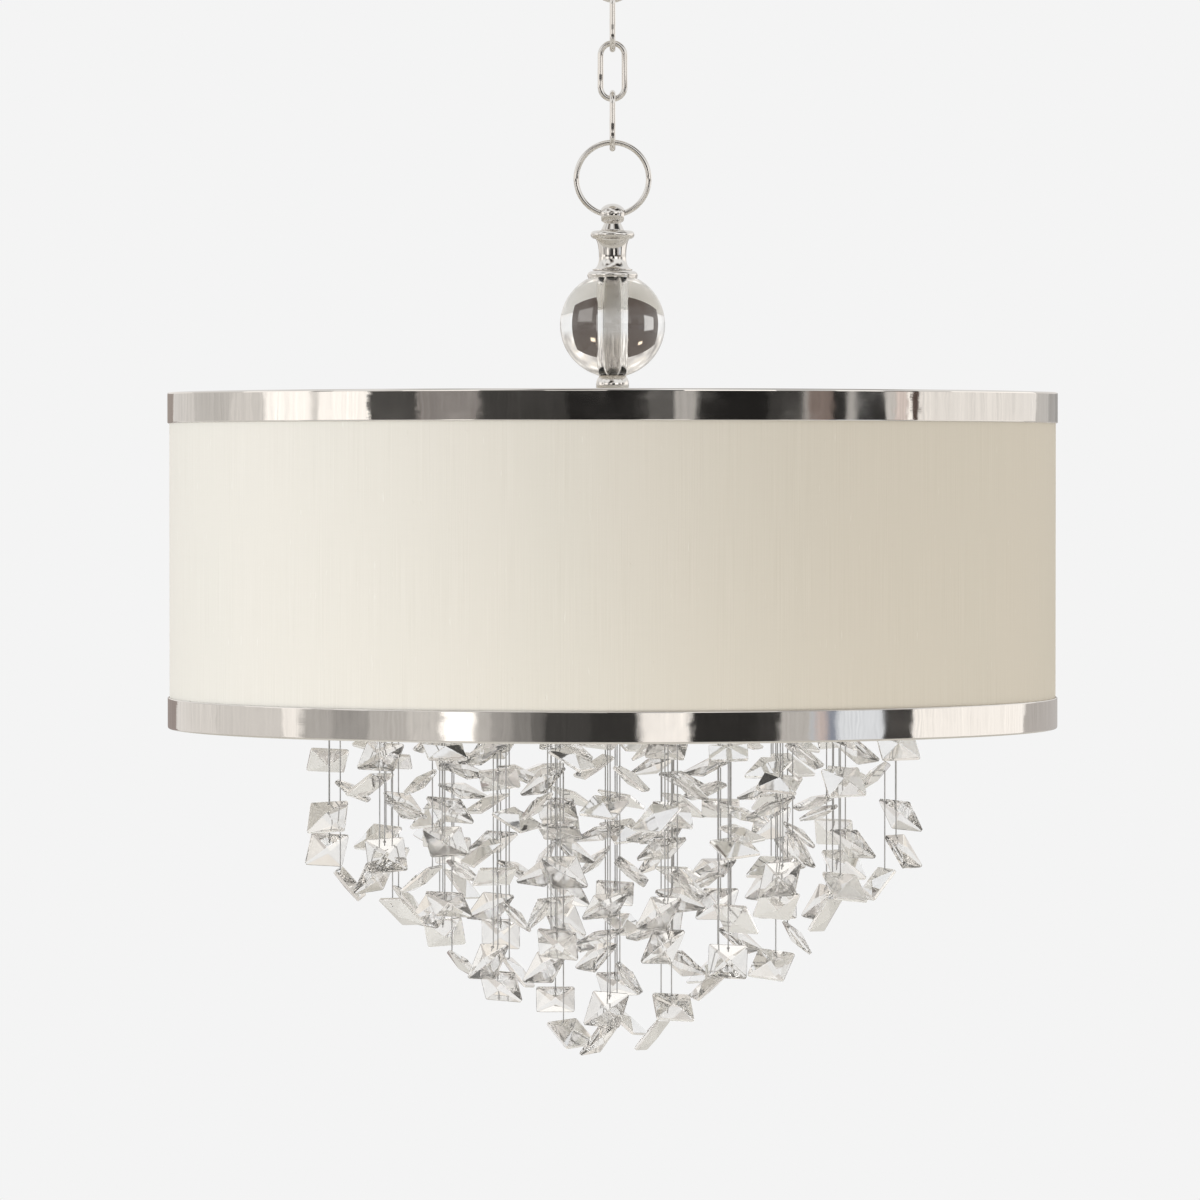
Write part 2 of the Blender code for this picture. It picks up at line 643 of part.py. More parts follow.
def make_vase():
    """The finial: a disc on a waisted body, with the knob's hole above and the pipe's socket below."""
    disc_foot = VASE_TOP_Z - VASE_DISC_THICKNESS
    waist_z = VASE_FOOT_Z + VASE_WAIST_HEIGHT
    foot_top = VASE_FOOT_Z + VASE_FOOT_EDGE
    stud_hole = KNOB_STUD_RADIUS + FIT_GAP
    stud_floor = VASE_TOP_Z - KNOB_STUD_LENGTH
    socket = PIPE_RADIUS + FIT_GAP
    socket_top = VASE_FOOT_Z + VASE_SOCKET_DEPTH
    half_disc = VASE_DISC_THICKNESS / 2
    edge = arc(VASE_DISC_RADIUS - half_disc, VASE_TOP_Z - half_disc, half_disc, half_disc, 90, -90)
    core = VASE_DISC_RADIUS - half_disc
    throat = arc(core, waist_z, core - VASE_WAIST_RADIUS, disc_foot - waist_z, 90, 180)
    skirt = arc(
        VASE_FOOT_RADIUS, waist_z, VASE_FOOT_RADIUS - VASE_WAIST_RADIUS, waist_z - foot_top, 180, 270
    )
    profile = [(0, stud_floor), (stud_hole, stud_floor), (stud_hole, VASE_TOP_Z), *edge, *throat[1:]]
    profile += [*skirt[1:], (VASE_FOOT_RADIUS, VASE_FOOT_Z)]
    profile += [(socket, VASE_FOOT_Z), (socket, socket_top), (0, socket_top)]
    vase = turned("finial_vase", profile, "nickel", STEM_STEPS, False)
    add_boolean(vase, wire_inlet_cutter("vase_wire_inlet"), "DIFFERENCE")


def wire_inlet_cutter(name):
    """A small hole in the back, through the finial's wall into the pipe, for the supply wire."""
    height = VASE_FOOT_Z + WIRE_INLET_HEIGHT
    back = VASE_DISC_RADIUS + CUT_OVERRUN
    hole = rod_mesh(name, WIRE_INLET_RADIUS, (0, 0, height), (0, back, height), SCREW_STEPS)
    return new_cutter(name, hole)


def make_ball_cup():
    """A round-edged cap, hollowed below to the ball's own curve."""
    centre_r = CUP_RADIUS - CUP_ROUND_RADIUS
    centre_z = CUP_TOP_Z - CUP_ROUND_RADIUS
    bore = PIPE_RADIUS + FIT_GAP
    rim = arc(centre_r, centre_z, CUP_ROUND_RADIUS, CUP_ROUND_RADIUS, 90, CUP_RIM_END_DEG)
    rim_r = rim[-1][0]
    hollow = []
    for i in range(ARC_STEPS + 1):
        r = rim_r + (bore - rim_r) * i / ARC_STEPS
        hollow.append((r, BALL_CENTRE_Z + math.sqrt(SEAT_RADIUS**2 - r**2)))
    turned("ball_cup", [*rim, *hollow, (bore, CUP_TOP_Z)], "nickel", BALL_STEPS)


def make_ball():
    half_bore = math.sqrt(BALL_RADIUS**2 - BALL_BORE_RADIUS**2)
    reach_deg = math.degrees(math.asin(half_bore / BALL_RADIUS))
    profile = arc(0, BALL_CENTRE_Z, BALL_RADIUS, BALL_RADIUS, reach_deg, -reach_deg, BALL_ARC_STEPS)
    turned("glass_ball", profile, "glass", BALL_STEPS)


def make_bead():
    """A tapered spacer whose top is hollowed to the ball's curve."""
    bore = PIPE_RADIUS + FIT_GAP
    seat = []
    for i in range(ARC_STEPS // 2 + 1):
        r = bore + (BEAD_TOP_RADIUS - bore) * i / (ARC_STEPS // 2)
        seat.append((r, BALL_CENTRE_Z - math.sqrt(SEAT_RADIUS**2 - r**2)))
    side = (BEAD_TOP_RADIUS, (BEAD_TOP_Z + BEAD_FOOT_Z) / 2)
    profile = [*seat, side, (BEAD_FOOT_RADIUS, BEAD_FOOT_Z), (bore, BEAD_FOOT_Z)]
    turned("ball_spacer", profile, "nickel", BALL_STEPS)


def make_pipe():
    profile = ring_profile(PIPE_BORE_RADIUS, PIPE_RADIUS, PIPE_FOOT_Z, PIPE_TOP_Z)
    pipe = turned("stem_pipe", profile, "nickel", STEM_STEPS)
    add_boolean(pipe, wire_inlet_cutter("pipe_wire_inlet"), "DIFFERENCE")


# Shade


def spoke_angle(i):
    return math.radians(FIRST_SPOKE_DEG + 360 * i / SPOKE_COUNT)


def make_spider():
    """The top frame's hub and spokes, which carry the shade's upper wire."""
    bore = PIPE_RADIUS + FIT_GAP
    profile = ring_profile(bore, HUB_RADIUS, HUB_FOOT_Z, HUB_TOP_Z)
    hub = turned("shade_spider", profile, "white_metal", STEM_STEPS)
    spoke_radius = SHADE_WIRE_RADIUS - FIT_GAP
    start = (bore + HUB_RADIUS) / 2
    end = SHADE_WIRE_CIRCLE - SHADE_WIRE_RADIUS - FIT_GAP
    spokes = []
    for i in range(SPOKE_COUNT):
        points = [polar(r, spoke_angle(i), SPOKE_Z) for r in (start, end)]
        spokes.append(new_cutter("spoke", rod_mesh("spoke", spoke_radius, *points, WIRE_SIDES)))
    joined(hub, spokes)


def make_shade():
    wire = (SHADE_WIRE_CIRCLE, SHADE_WIRE_RADIUS, SHADE_STEPS, BAR_SIDES)
    low_wire_z = SHADE_RIM_Z + LAYER_SETBACK + SHADE_WIRE_RADIUS
    new_part("shade_top_ring", torus_mesh("shade_top_ring", *wire), "white_metal", (0, 0, SPOKE_Z))
    new_part("shade_bottom_ring", torus_mesh("shade_bottom_ring", *wire), "white_metal", (0, 0, low_wire_z))
    foot, top = SHADE_RIM_Z + LAYER_SETBACK, SHADE_TOP_Z - LAYER_SETBACK
    liner = ring_profile(LINER_INNER_RADIUS, LINER_RADIUS, foot, top)
    fabric = ring_profile(FABRIC_RADIUS - FABRIC_THICKNESS, FABRIC_RADIUS, foot, top)
    turned("shade_liner", liner, "liner", SHADE_STEPS)
    turned("shade_fabric", fabric, "silk", SHADE_STEPS)


def make_bands():
    """Two metal bands, each with a narrow lip folded over the shade's edge."""
    outer, inner, lip = SHADE_RADIUS, BAND_INNER_RADIUS, LINER_INNER_RADIUS
    top, low = SHADE_TOP_Z, SHADE_RIM_Z
    upper = [
        (outer, top), (outer, top - BAND_HEIGHT), (inner, top - BAND_HEIGHT), (inner, top - BAND_THICKNESS),
        (lip, top - BAND_THICKNESS), (lip, top),
    ]
    lower = [
        (outer, low + BAND_HEIGHT), (outer, low), (lip, low), (lip, low + BAND_THICKNESS),
        (inner, low + BAND_THICKNESS), (inner, low + BAND_HEIGHT),
    ]
    turned("shade_top_band", upper, "nickel", SHADE_STEPS)
    turned("shade_bottom_band", lower, "nickel", SHADE_STEPS)


def make_washer():
    foot = WASHER_TOP_Z - WASHER_THICKNESS
    profile = ring_profile(PIPE_RADIUS + FIT_GAP, WASHER_RADIUS, foot, WASHER_TOP_Z)
    turned("shade_washer", profile, "zinc", STEM_STEPS)


# Lamps


def lamp_angle(i):
    return math.radians(FIRST_LAMP_DEG + 360 * i / LAMP_COUNT)


def arm_points(angle):
    """An arm's middle line: straight out from the hub, then bent up to its cup."""
    out = LAMP_CIRCLE_RADIUS - ARM_BEND_RADIUS
    points = [polar(CLUSTER_RADIUS / 2, angle, CLUSTER_Z)]
    for i in range(ARC_STEPS + 1):
        bend = math.radians(90 * i / ARC_STEPS)
        radius = out + ARM_BEND_RADIUS * math.sin(bend)
        points.append(polar(radius, angle, CLUSTER_Z + ARM_BEND_RADIUS * (1 - math.cos(bend))))
    points.append(points[-1] + Vector((0, 0, ARM_RISE)))
    return points


def make_cluster():
    """The lamp cluster: a body screwed on the pipe, and an arm with a cup for each socket."""
    half = CLUSTER_HEIGHT / 2
    bore = PIPE_RADIUS + FIT_GAP
    profile = ring_profile(bore, CLUSTER_RADIUS, CLUSTER_Z - half, CLUSTER_Z + half, CLUSTER_EDGE)
    body = turned("lamp_cluster", profile, "white_metal", STEM_STEPS)
    extra = []
    for i in range(LAMP_COUNT):
        points = arm_points(lamp_angle(i))
        extra.append(baked(wire_curve("arm", points, ARM_RADIUS, False, CUTTERS)))
        foot = points[-1] - Vector((0, 0, ARM_CUP_HEIGHT / 2))
        top = foot + Vector((0, 0, ARM_CUP_HEIGHT))
        extra.append(new_cutter("arm_cup", rod_mesh("arm_cup", ARM_CUP_RADIUS, foot, top, LAMP_STEPS)))
    joined(body, extra)


def lamp_foot(i):
    """The middle of a socket's underside."""
    top = arm_points(lamp_angle(i))[-1]
    return top + Vector((0, 0, ARM_CUP_HEIGHT / 2 + FIT_GAP))


def bulb_profile():
    """A torpedo bulb, from its tip down to its screw base, above the base's underside."""
    belly = BULB_BASE_LENGTH + BULB_BELLY_HEIGHT
    top = BULB_BASE_LENGTH + BULB_GLASS_LENGTH
    points = [(0, top), (BULB_TIP_RADIUS, top)]
    for i in range(1, BULB_TIP_STEPS + 1):
        share = i / BULB_TIP_STEPS
        radius = BULB_TIP_RADIUS + (BULB_RADIUS - BULB_TIP_RADIUS) * math.sin(share * math.pi / 2)
        points.append((radius, top + (belly - top) * share))
    for i in range(1, BULB_NECK_STEPS + 1):
        swell = (1 + math.cos(math.pi * i / BULB_NECK_STEPS)) / 2
        radius = BULB_BASE_RADIUS + (BULB_RADIUS - BULB_BASE_RADIUS) * swell
        points.append((radius, belly + (BULB_BASE_LENGTH - belly) * i / BULB_NECK_STEPS))
    return points + [(BULB_BASE_RADIUS, 0), (0, 0)]


def make_lamps():
    bore = BULB_BASE_RADIUS + FIT_GAP
    socket = [
        (SOCKET_RADIUS - SOCKET_EDGE, SOCKET_HEIGHT), (SOCKET_RADIUS, SOCKET_HEIGHT - SOCKET_EDGE),
        (SOCKET_RADIUS, 0), (0, 0), (0, SOCKET_FLOOR), (bore, SOCKET_FLOOR), (bore, SOCKET_HEIGHT),
    ]
    start = socket.index((0, SOCKET_FLOOR))
    cup = socket[start:] + socket[:start]
    for i in range(LAMP_COUNT):
        foot = lamp_foot(i)
        turned(f"socket_{i + 1}", cup, "socket", LAMP_STEPS, False, foot)
        bulb_foot = foot + Vector((0, 0, SOCKET_FLOOR + FIT_GAP))
        turned(f"bulb_{i + 1}", bulb_profile(), "bulb", LAMP_STEPS, False, bulb_foot)


# Crystal rack


def make_rack():
    """A wire grid on a hub: bars along Y for the hooks, two ties welded over them and an outline under."""
    top, foot = RACK_Z + RACK_HUB_HEIGHT / 2, RACK_Z - RACK_HUB_HEIGHT / 2
    profile = [(0, top), (RACK_HUB_RADIUS, top), (RACK_HUB_RADIUS, foot), (0, foot)]
    hub = turned("crystal_rack", profile, "white_metal", STEM_STEPS, False)
    outline = torus_mesh("rack_outline", RACK_RADIUS, RACK_WIRE_RADIUS, RACK_STEPS, THIN_SIDES)
    third_step = math.tau / RACK_STEPS / 3
    outline.transform(Matrix.Rotation(third_step, 4, "Z"))
    wires = [new_cutter("rack_outline", outline, (0, 0, RACK_Z - WELD_STEP))]
    wire_end = RACK_RADIUS - WELD_STEP
    for bar in range(-BARS_EACH_SIDE, BARS_EACH_SIDE + 1):
        x = bar * BAR_PITCH
        reach = math.sqrt(wire_end**2 - x**2)
        mesh = rod_mesh("rack_bar", BAR_RADIUS, (x, -reach, RACK_Z), (x, reach, RACK_Z), BAR_SIDES)
        wires.append(new_cutter("rack_bar", mesh))
    tie_z = RACK_Z + WELD_STEP
    for y in (-TIE_OFFSET, TIE_OFFSET):
        reach = math.sqrt(wire_end**2 - y**2)
        mesh = rod_mesh("rack_tie", TIE_RADIUS, (-reach, y, tie_z), (reach, y, tie_z), BAR_SIDES)
        wires.append(new_cutter("rack_tie", mesh))
    rack = joined(hub, wires)
    ends = [(0, 0, foot - CUT_OVERRUN), (0, 0, top + CUT_OVERRUN)]
    bore = rod_mesh("rack_bore", PIPE_RADIUS + FIT_GAP, *ends, STEM_STEPS)
    add_boolean(rack, new_cutter("rack_bore", bore), "DIFFERENCE")


# Crystal strands


def strand_places():
    """Where the strands hook on: every second bar carries them half a row off the bars beside it."""
    places = []
    for bar in range(-BARS_EACH_SIDE, BARS_EACH_SIDE + 1):
        for row in range(-ROWS_EACH_SIDE, ROWS_EACH_SIDE + 1):
            x, y = bar * BAR_PITCH, row * ROW_PITCH
            if (bar + row) % 2 and math.hypot(x, y) <= STRAND_CIRCLE_RADIUS:
                places.append((x, y))
    return places


def cell_radius():
    """How far a crystal may reach from its strand's middle without meeting another strand's as they sway."""
    narrowed = BAR_PITCH * math.cos(math.radians(SWAY_LIMIT_DEG))
    return min(narrowed, math.hypot(narrowed, ROW_PITCH) / 2) - CRYSTAL_GAP


def bowl_depth(radius):
    """How far below the rim the lowest hole lies, at a distance from the middle."""
    share = (radius - BOWL_FLAT_RADIUS) / (STRAND_CIRCLE_RADIUS - BOWL_FLAT_RADIUS)
    share = min(1, max(0, share))
    return BOWL_DEPTH - (BOWL_DEPTH - BOWL_EDGE_DEPTH) * share**BOWL_POWER


def crystal_bmesh(bm, matrix, grow=0):
    """A square crystal with a low pyramid on each face, hung from a hole near the middle of one edge."""
    side, girdle = CRYSTAL_SIDE + 2 * grow, CRYSTAL_GIRDLE + 2 * grow
    rise = (CRYSTAL_THICKNESS - CRYSTAL_GIRDLE) / 2
    local = Matrix.Translation((CRYSTAL_SIDE / 2 - CRYSTAL_HOLE_INSET, 0, 0))
    corner = side / math.sqrt(2)
    made = bmesh.ops.create_cone(
        bm, cap_ends=True, segments=CRYSTAL_CORNERS, radius1=corner, radius2=corner, depth=girdle,
        matrix=matrix @ local @ Matrix.Rotation(math.pi / CRYSTAL_CORNERS, 4, "Z"),
    )
    corners = set(made["verts"])
    upright = matrix.to_3x3() @ Vector((0, 0, 1))
    caps = {f for v in corners for f in v.link_faces if abs(f.normal.dot(upright)) > math.cos(math.pi / 4)}
    bmesh.ops.poke(bm, faces=list(caps), offset=rise)


def rod_bmesh(bm, radius, foot, top, sides):
    """An upright rod from one point up to another."""
    bmesh.ops.create_cone(
        bm, cap_ends=True, segments=sides, radius1=radius, radius2=radius, depth=top[2] - foot[2],
        matrix=Matrix.Translation((foot[0], foot[1], (foot[2] + top[2]) / 2)),
    )


def crystal_tree(matrix, grow=0):
    bm = bmesh.new()
    crystal_bmesh(bm, matrix, grow)
    tree = BVHTree.FromBMesh(bm)
    bm.free()
    return tree


def line_tree(place, top, foot):
    bm = bmesh.new()
    rod_bmesh(bm, LINE_RADIUS + CRYSTAL_GAP, (*place, foot), (*place, top), LINE_SIDES)
    tree = BVHTree.FromBMesh(bm)
    bm.free()
    return tree


def far_corners(matrix):
    """The two corners of a crystal that lie farthest from its hole."""
    reach = CRYSTAL_SIDE - CRYSTAL_HOLE_INSET
    return [matrix @ Vector((reach, side * CRYSTAL_SIDE / 2, 0)) for side in (-1, 1)]


def plan_strand(rng, x, y):
    """A strand's lines as (place, foot), and its crystals as matrices, from its hook's middle."""
    radius = math.hypot(x, y)
    inward = math.atan2(-y, -x)
    turn = math.radians(rng.uniform(-FREE_TURN_DEG, FREE_TURN_DEG))
    phase = inward if radius > FREE_RADIUS else inward + turn
    angles = [phase + math.tau * i / LINES_PER_STRAND for i in range(LINES_PER_STRAND)]
    places = [polar(LINE_CIRCLE_RADIUS, angle).to_2d() for angle in angles]
    rim = SHADE_RIM_Z - RACK_Z
    first = FIRST_CRYSTAL_DEPTH + rng.uniform(0, FIRST_CRYSTAL_SPREAD)
    last = bowl_depth(radius)
    count = round((last - first) / CRYSTAL_PITCH) + 1
    heights, owners = [], []
    for i in range(count):
        slack = 0 if i == count - 1 else rng.uniform(-CRYSTAL_PITCH_JITTER, CRYSTAL_PITCH_JITTER)
        heights.append(rim - first - (last - first) * i / max(1, count - 1) + slack)
        owners.append((count - 1 - i) % LINES_PER_STRAND)
    feet = [min(h for h, o in zip(heights, owners) if o == line) for line in range(LINES_PER_STRAND)]
    trees = [line_tree(place, 0, foot - LINE_TAIL) for place, foot in zip(places, feet)]
    crystals, taken = [], []
    for height, owner in zip(heights, owners):
        droops = LAST_DROOP_RANGE_DEG if height == feet[owner] else DROOP_RANGE_DEG
        others = [tree for line, tree in enumerate(trees) if line != owner]
        for _ in range(LAYOUT_TRIES):
            azimuth = angles[owner] + math.radians(rng.uniform(-LEAN_LIMIT_DEG, LEAN_LIMIT_DEG))
            droop = math.radians(rng.uniform(*droops))
            roll = math.radians(rng.uniform(-ROLL_LIMIT_DEG, ROLL_LIMIT_DEG))
            matrix = Matrix.Translation((*places[owner], height)) @ Matrix.Rotation(azimuth, 4, "Z")
            matrix = matrix @ Matrix.Rotation(droop, 4, "Y") @ Matrix.Rotation(roll, 4, "X")
            ends = far_corners(matrix)
            if max(corner.to_2d().length for corner in ends) > cell_radius():
                continue
            if max(math.hypot(x + end.x, y + end.y) for end in ends) > CRYSTAL_REACH_RADIUS:
                continue
            grown = crystal_tree(matrix, CRYSTAL_GAP)
            if any(grown.overlap(tree) for tree in others + taken):
                continue
            crystals.append(matrix)
            taken.append(crystal_tree(matrix))
            break
    return list(zip(places, feet)), crystals


def make_strand(name, rng, x, y):
    """One strand: a hook round its bar, a small hanger, thin lines and the crystals that they hold."""
    lines, crystals = plan_strand(rng, x, y)
    hook_circle = (BAR_RADIUS + FIT_GAP + HOOK_WIRE_RADIUS) / math.cos(math.pi / HOOK_STEPS)
    hook = torus_mesh(name, hook_circle, HOOK_WIRE_RADIUS, HOOK_STEPS, HOOK_SIDES)
    hook.transform(Matrix.Rotation(math.pi / 2, 4, "X"))
    strand = new_part(name, hook, "crystal", (x, y, RACK_Z))
    hanger_top = HOOK_WIRE_RADIUS / 2 - hook_circle - HOOK_WIRE_RADIUS
    hanger_foot = hanger_top - HANGER_THICKNESS
    bm = bmesh.new()
    rod_bmesh(bm, HANGER_RADIUS, (0, 0, hanger_foot), (0, 0, hanger_top), THIN_SIDES)
    hanger = new_cutter("hanger", mesh_of("hanger", bm), strand.location)
    bm = bmesh.new()
    middle = (hanger_foot + hanger_top) / 2
    for place, foot in lines:
        rod_bmesh(bm, LINE_RADIUS, (*place, foot - LINE_TAIL), (*place, middle), LINE_SIDES)
    wires = new_cutter("wires", mesh_of("wires", bm), strand.location)
    bm = bmesh.new()
    for matrix in crystals:
        crystal_bmesh(bm, matrix)
    glass = new_cutter("crystals", mesh_of("crystals", bm), strand.location)
    joined(strand, [hanger, wires, glass])


def make_strands():
    rng = random.Random(LAYOUT_SEED)
    for i, (x, y) in enumerate(strand_places()):
        make_strand(f"crystal_strand_{i + 1:02d}", rng, x, y)


def hang_together(name, height, objects):
    """Parents pieces that swing as one to an empty on their joint's axis, where they are."""
    axis = bpy.data.objects.new(name, None)
    PARTS.objects.link(axis)
    axis.location = (0, 0, height)
    for obj in objects:
        obj.parent = axis
        obj.location -= axis.location


make_crossbar()
make_ground_screw()
make_hex_nut("canopy_hex_nut", -CROSSBAR_THICKNESS - FIT_GAP, NIPPLE_RADIUS)
make_nipple()
make_canopy()
make_collar()
make_canopy_loop()
make_chain()
make_hanging_ring()
above_fixture = set(PARTS.objects)
make_eye_knob()
make_vase()
make_ball_cup()
make_ball()
make_bead()
make_pipe()
make_spider()
make_shade()
make_bands()
make_washer()
make_hex_nut("shade_nut", SHADE_NUT_TOP_Z, PIPE_RADIUS)
make_cluster()
make_lamps()
make_rack()
make_hex_nut("rack_nut", RACK_NUT_TOP_Z, PIPE_RADIUS)
make_strands()
hang_together("fixture_axis", KNOB_EYE_Z, [obj for obj in PARTS.objects if obj not in above_fixture])
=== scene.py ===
"""Looks of the drum chandelier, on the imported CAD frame.

Metres, +Z up, seen from -Y, with the origin on the ceiling. Sizes with part.py's names repeat its
values; places come from the frame. Every piece is modelled at rest and rides on its CAD body.
"""

import json
import random
from math import acos, atan2, cos, degrees, exp, hypot, pi, radians, sin, sqrt, tau

import bmesh
import bpy
from mathutils import Matrix, Vector
from mathutils.bvhtree import BVHTree


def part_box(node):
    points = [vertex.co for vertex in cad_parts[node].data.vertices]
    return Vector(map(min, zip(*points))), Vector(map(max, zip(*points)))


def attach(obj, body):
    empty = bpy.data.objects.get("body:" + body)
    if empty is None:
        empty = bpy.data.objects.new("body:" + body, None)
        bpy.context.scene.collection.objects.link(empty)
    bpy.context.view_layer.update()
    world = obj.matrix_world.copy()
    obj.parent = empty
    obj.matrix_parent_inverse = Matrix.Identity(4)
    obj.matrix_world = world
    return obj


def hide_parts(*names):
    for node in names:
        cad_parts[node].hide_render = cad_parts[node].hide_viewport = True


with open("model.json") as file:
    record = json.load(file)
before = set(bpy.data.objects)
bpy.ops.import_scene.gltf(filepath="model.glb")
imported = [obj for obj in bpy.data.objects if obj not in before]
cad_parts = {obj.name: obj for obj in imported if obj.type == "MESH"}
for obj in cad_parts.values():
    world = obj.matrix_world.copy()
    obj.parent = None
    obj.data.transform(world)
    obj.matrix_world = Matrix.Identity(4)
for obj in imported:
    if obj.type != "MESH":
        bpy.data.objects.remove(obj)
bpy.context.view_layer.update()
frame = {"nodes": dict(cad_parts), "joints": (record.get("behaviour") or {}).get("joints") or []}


def heights(node):
    """A CAD node's foot and top."""
    low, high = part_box(node)
    return low[2], high[2]


# Sizes of the CAD pieces that are made again in finer form
FIT_GAP = 0.0003
WIRE = 0.00165
LINK_LENGTH, LINK_WIDTH = 0.0352, 0.0170
RING_RADIUS, RING_WIRE = 0.0207, 0.0016
BALL_RADIUS, BALL_BORE = 0.030, 0.00625
PIPE_RADIUS, PIPE_BORE, PIPE_HOLE = 0.005, 0.0033, 0.0053
STEM_RADIUS, STEM_HOLE, NIPPLE_RADIUS, NIPPLE_HOLE = 0.010, 0.0103, 0.00495, 0.00525
THREAD_PITCH = 0.00094
BAND_HEIGHT, BAND_THICKNESS = 0.0175, 0.0008
FABRIC_THICKNESS, LINER_THICKNESS, SHADE_WIRE, HUB_RADIUS = 0.0005, 0.0008, 0.002, 0.013
LAMP_CIRCLE_RADIUS = 0.062
RACK_RADIUS, RACK_WIRE, BAR_RADIUS, TIE_RADIUS, WELD_STEP = 0.168, 0.0022, 0.0016, 0.0019, 0.0007
BARS_EACH_SIDE, ROWS_EACH_SIDE, BAR_PITCH, ROW_PITCH = 5, 2, 0.032, 0.058

# Layout of the crystal strands
LAYOUT_SEED, LAYOUT_TRIES = 2, 200
STRAND_CIRCLE_RADIUS, CRYSTAL_REACH_RADIUS = 0.162, 0.178
LINES_PER_STRAND, LINE_RADIUS, LINE_CIRCLE_RADIUS, LINE_TAIL = 3, 0.00035, 0.0042, 0.003
HOOK_WIRE, HANGER_RADIUS, HANGER_THICKNESS = 0.0008, 0.005, 0.0014
CRYSTAL_SIDE, CRYSTAL_THICKNESS, CRYSTAL_GIRDLE, CRYSTAL_HOLE_INSET = 0.022, 0.0076, 0.0016, 0.0026
CRYSTAL_PITCH, CRYSTAL_PITCH_JITTER, CRYSTAL_GAP = 0.0182, 0.0035, 0.0006
FIRST_CRYSTAL_DEPTH, FIRST_CRYSTAL_SPREAD = 0.002, 0.010
BOWL_DEPTH, BOWL_EDGE_DEPTH, BOWL_FLAT_RADIUS, BOWL_POWER = 0.170, 0.082, 0.057, 0.8
FREE_RADIUS, FREE_TURN_DEG = 0.114, 60
SWAY_LIMIT_DEG, LEAN_LIMIT_DEG, ROLL_LIMIT_DEG = 15, 28, 9
DROOP_RANGE_DEG, LAST_DROOP_RANGE_DEG = (18, 42), (36, 60)

# Places read from the frame
SHADE_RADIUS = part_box("shade_top_band")[1][0]
SHADE_RIM, SHADE_TOP = heights("shade_bottom_band")[0], heights("shade_top_band")[1]
HUB_FOOT, HUB_TOP = heights("shade_spider")
SPOKE_Z = (HUB_FOOT + HUB_TOP) / 2
BALL_Z = sum(heights("glass_ball")) / 2
VASE_FOOT, VASE_TOP = heights("finial_vase")
CLUSTER_Z = heights("lamp_cluster")[0] + 0.009
RACK_Z = sum(heights("crystal_rack")) / 2
EYE_Z = next(joint["pos_m"][2] for joint in frame["joints"] if joint["name"] == "fixture_swing")

# The layers of the shade under its bands, from outside to inside
FABRIC_RADIUS = SHADE_RADIUS - BAND_THICKNESS - FIT_GAP
LINER_RADIUS = FABRIC_RADIUS - FABRIC_THICKNESS - FIT_GAP
LINER_BORE = LINER_RADIUS - LINER_THICKNESS

# Surroundings
FLOOR_Z, FLOOR_RADIUS = -2.4, 10
WHITE_WALL, FAR_WALL = 0.905, 0.86


# Camera, lights, surroundings


def new_object(name, data):
    """An object that is linked to the scene."""
    obj = bpy.data.objects.new(name, data)
    bpy.context.scene.collection.objects.link(obj)
    return obj


def make_camera():
    """A long lens about four metres away, a little above the middle of the drum."""
    data = bpy.data.cameras.new("camera")
    data.lens, data.sensor_width = 213, 36
    data.clip_end = 100
    camera = new_object("camera", data)
    camera.location = (0, -4.06, -0.3252)
    camera.rotation_euler = (radians(88.91), 0, radians(0.101))
    bpy.context.scene.camera = camera


def make_light(name, place, size, watts, colour, spread_deg=180):
    """A rectangular lamp that faces the middle of the chandelier and shows nowhere itself."""
    data = bpy.data.lights.new(name, "AREA")
    data.spread = radians(spread_deg)
    data.shape, data.size, data.size_y = "RECTANGLE", *size
    data.energy, data.color = watts, colour
    light = new_object(name, data)
    light.location = place
    light.rotation_euler = (Vector((0, 0, -0.38)) - Vector(place)).to_track_quat("-Z", "Y").to_euler()
    light.visible_glossy = light.visible_camera = light.visible_transmission = False


def make_lights():
    """Two gridded side lamps, whose light stays off the floor beside them, and a weak one below."""
    make_light("window_left", (-4.0, -1.8, -0.4), (3, 3), 53, (0.905, 0.945, 1.0), 120)
    make_light("lamp_right", (3.9, -0.9, -0.6), (2.4, 2.4), 20, (1.0, 0.94, 0.85), 120)
    make_light("table_front", (0, -0.62, -0.9), (0.6, 0.3), 1.3, (1.0, 0.94, 0.83))


def colour_of(value):
    """A node colour from a grey level or three numbers."""
    return (*value, 1) if isinstance(value, tuple) else (value, value, value, 1)


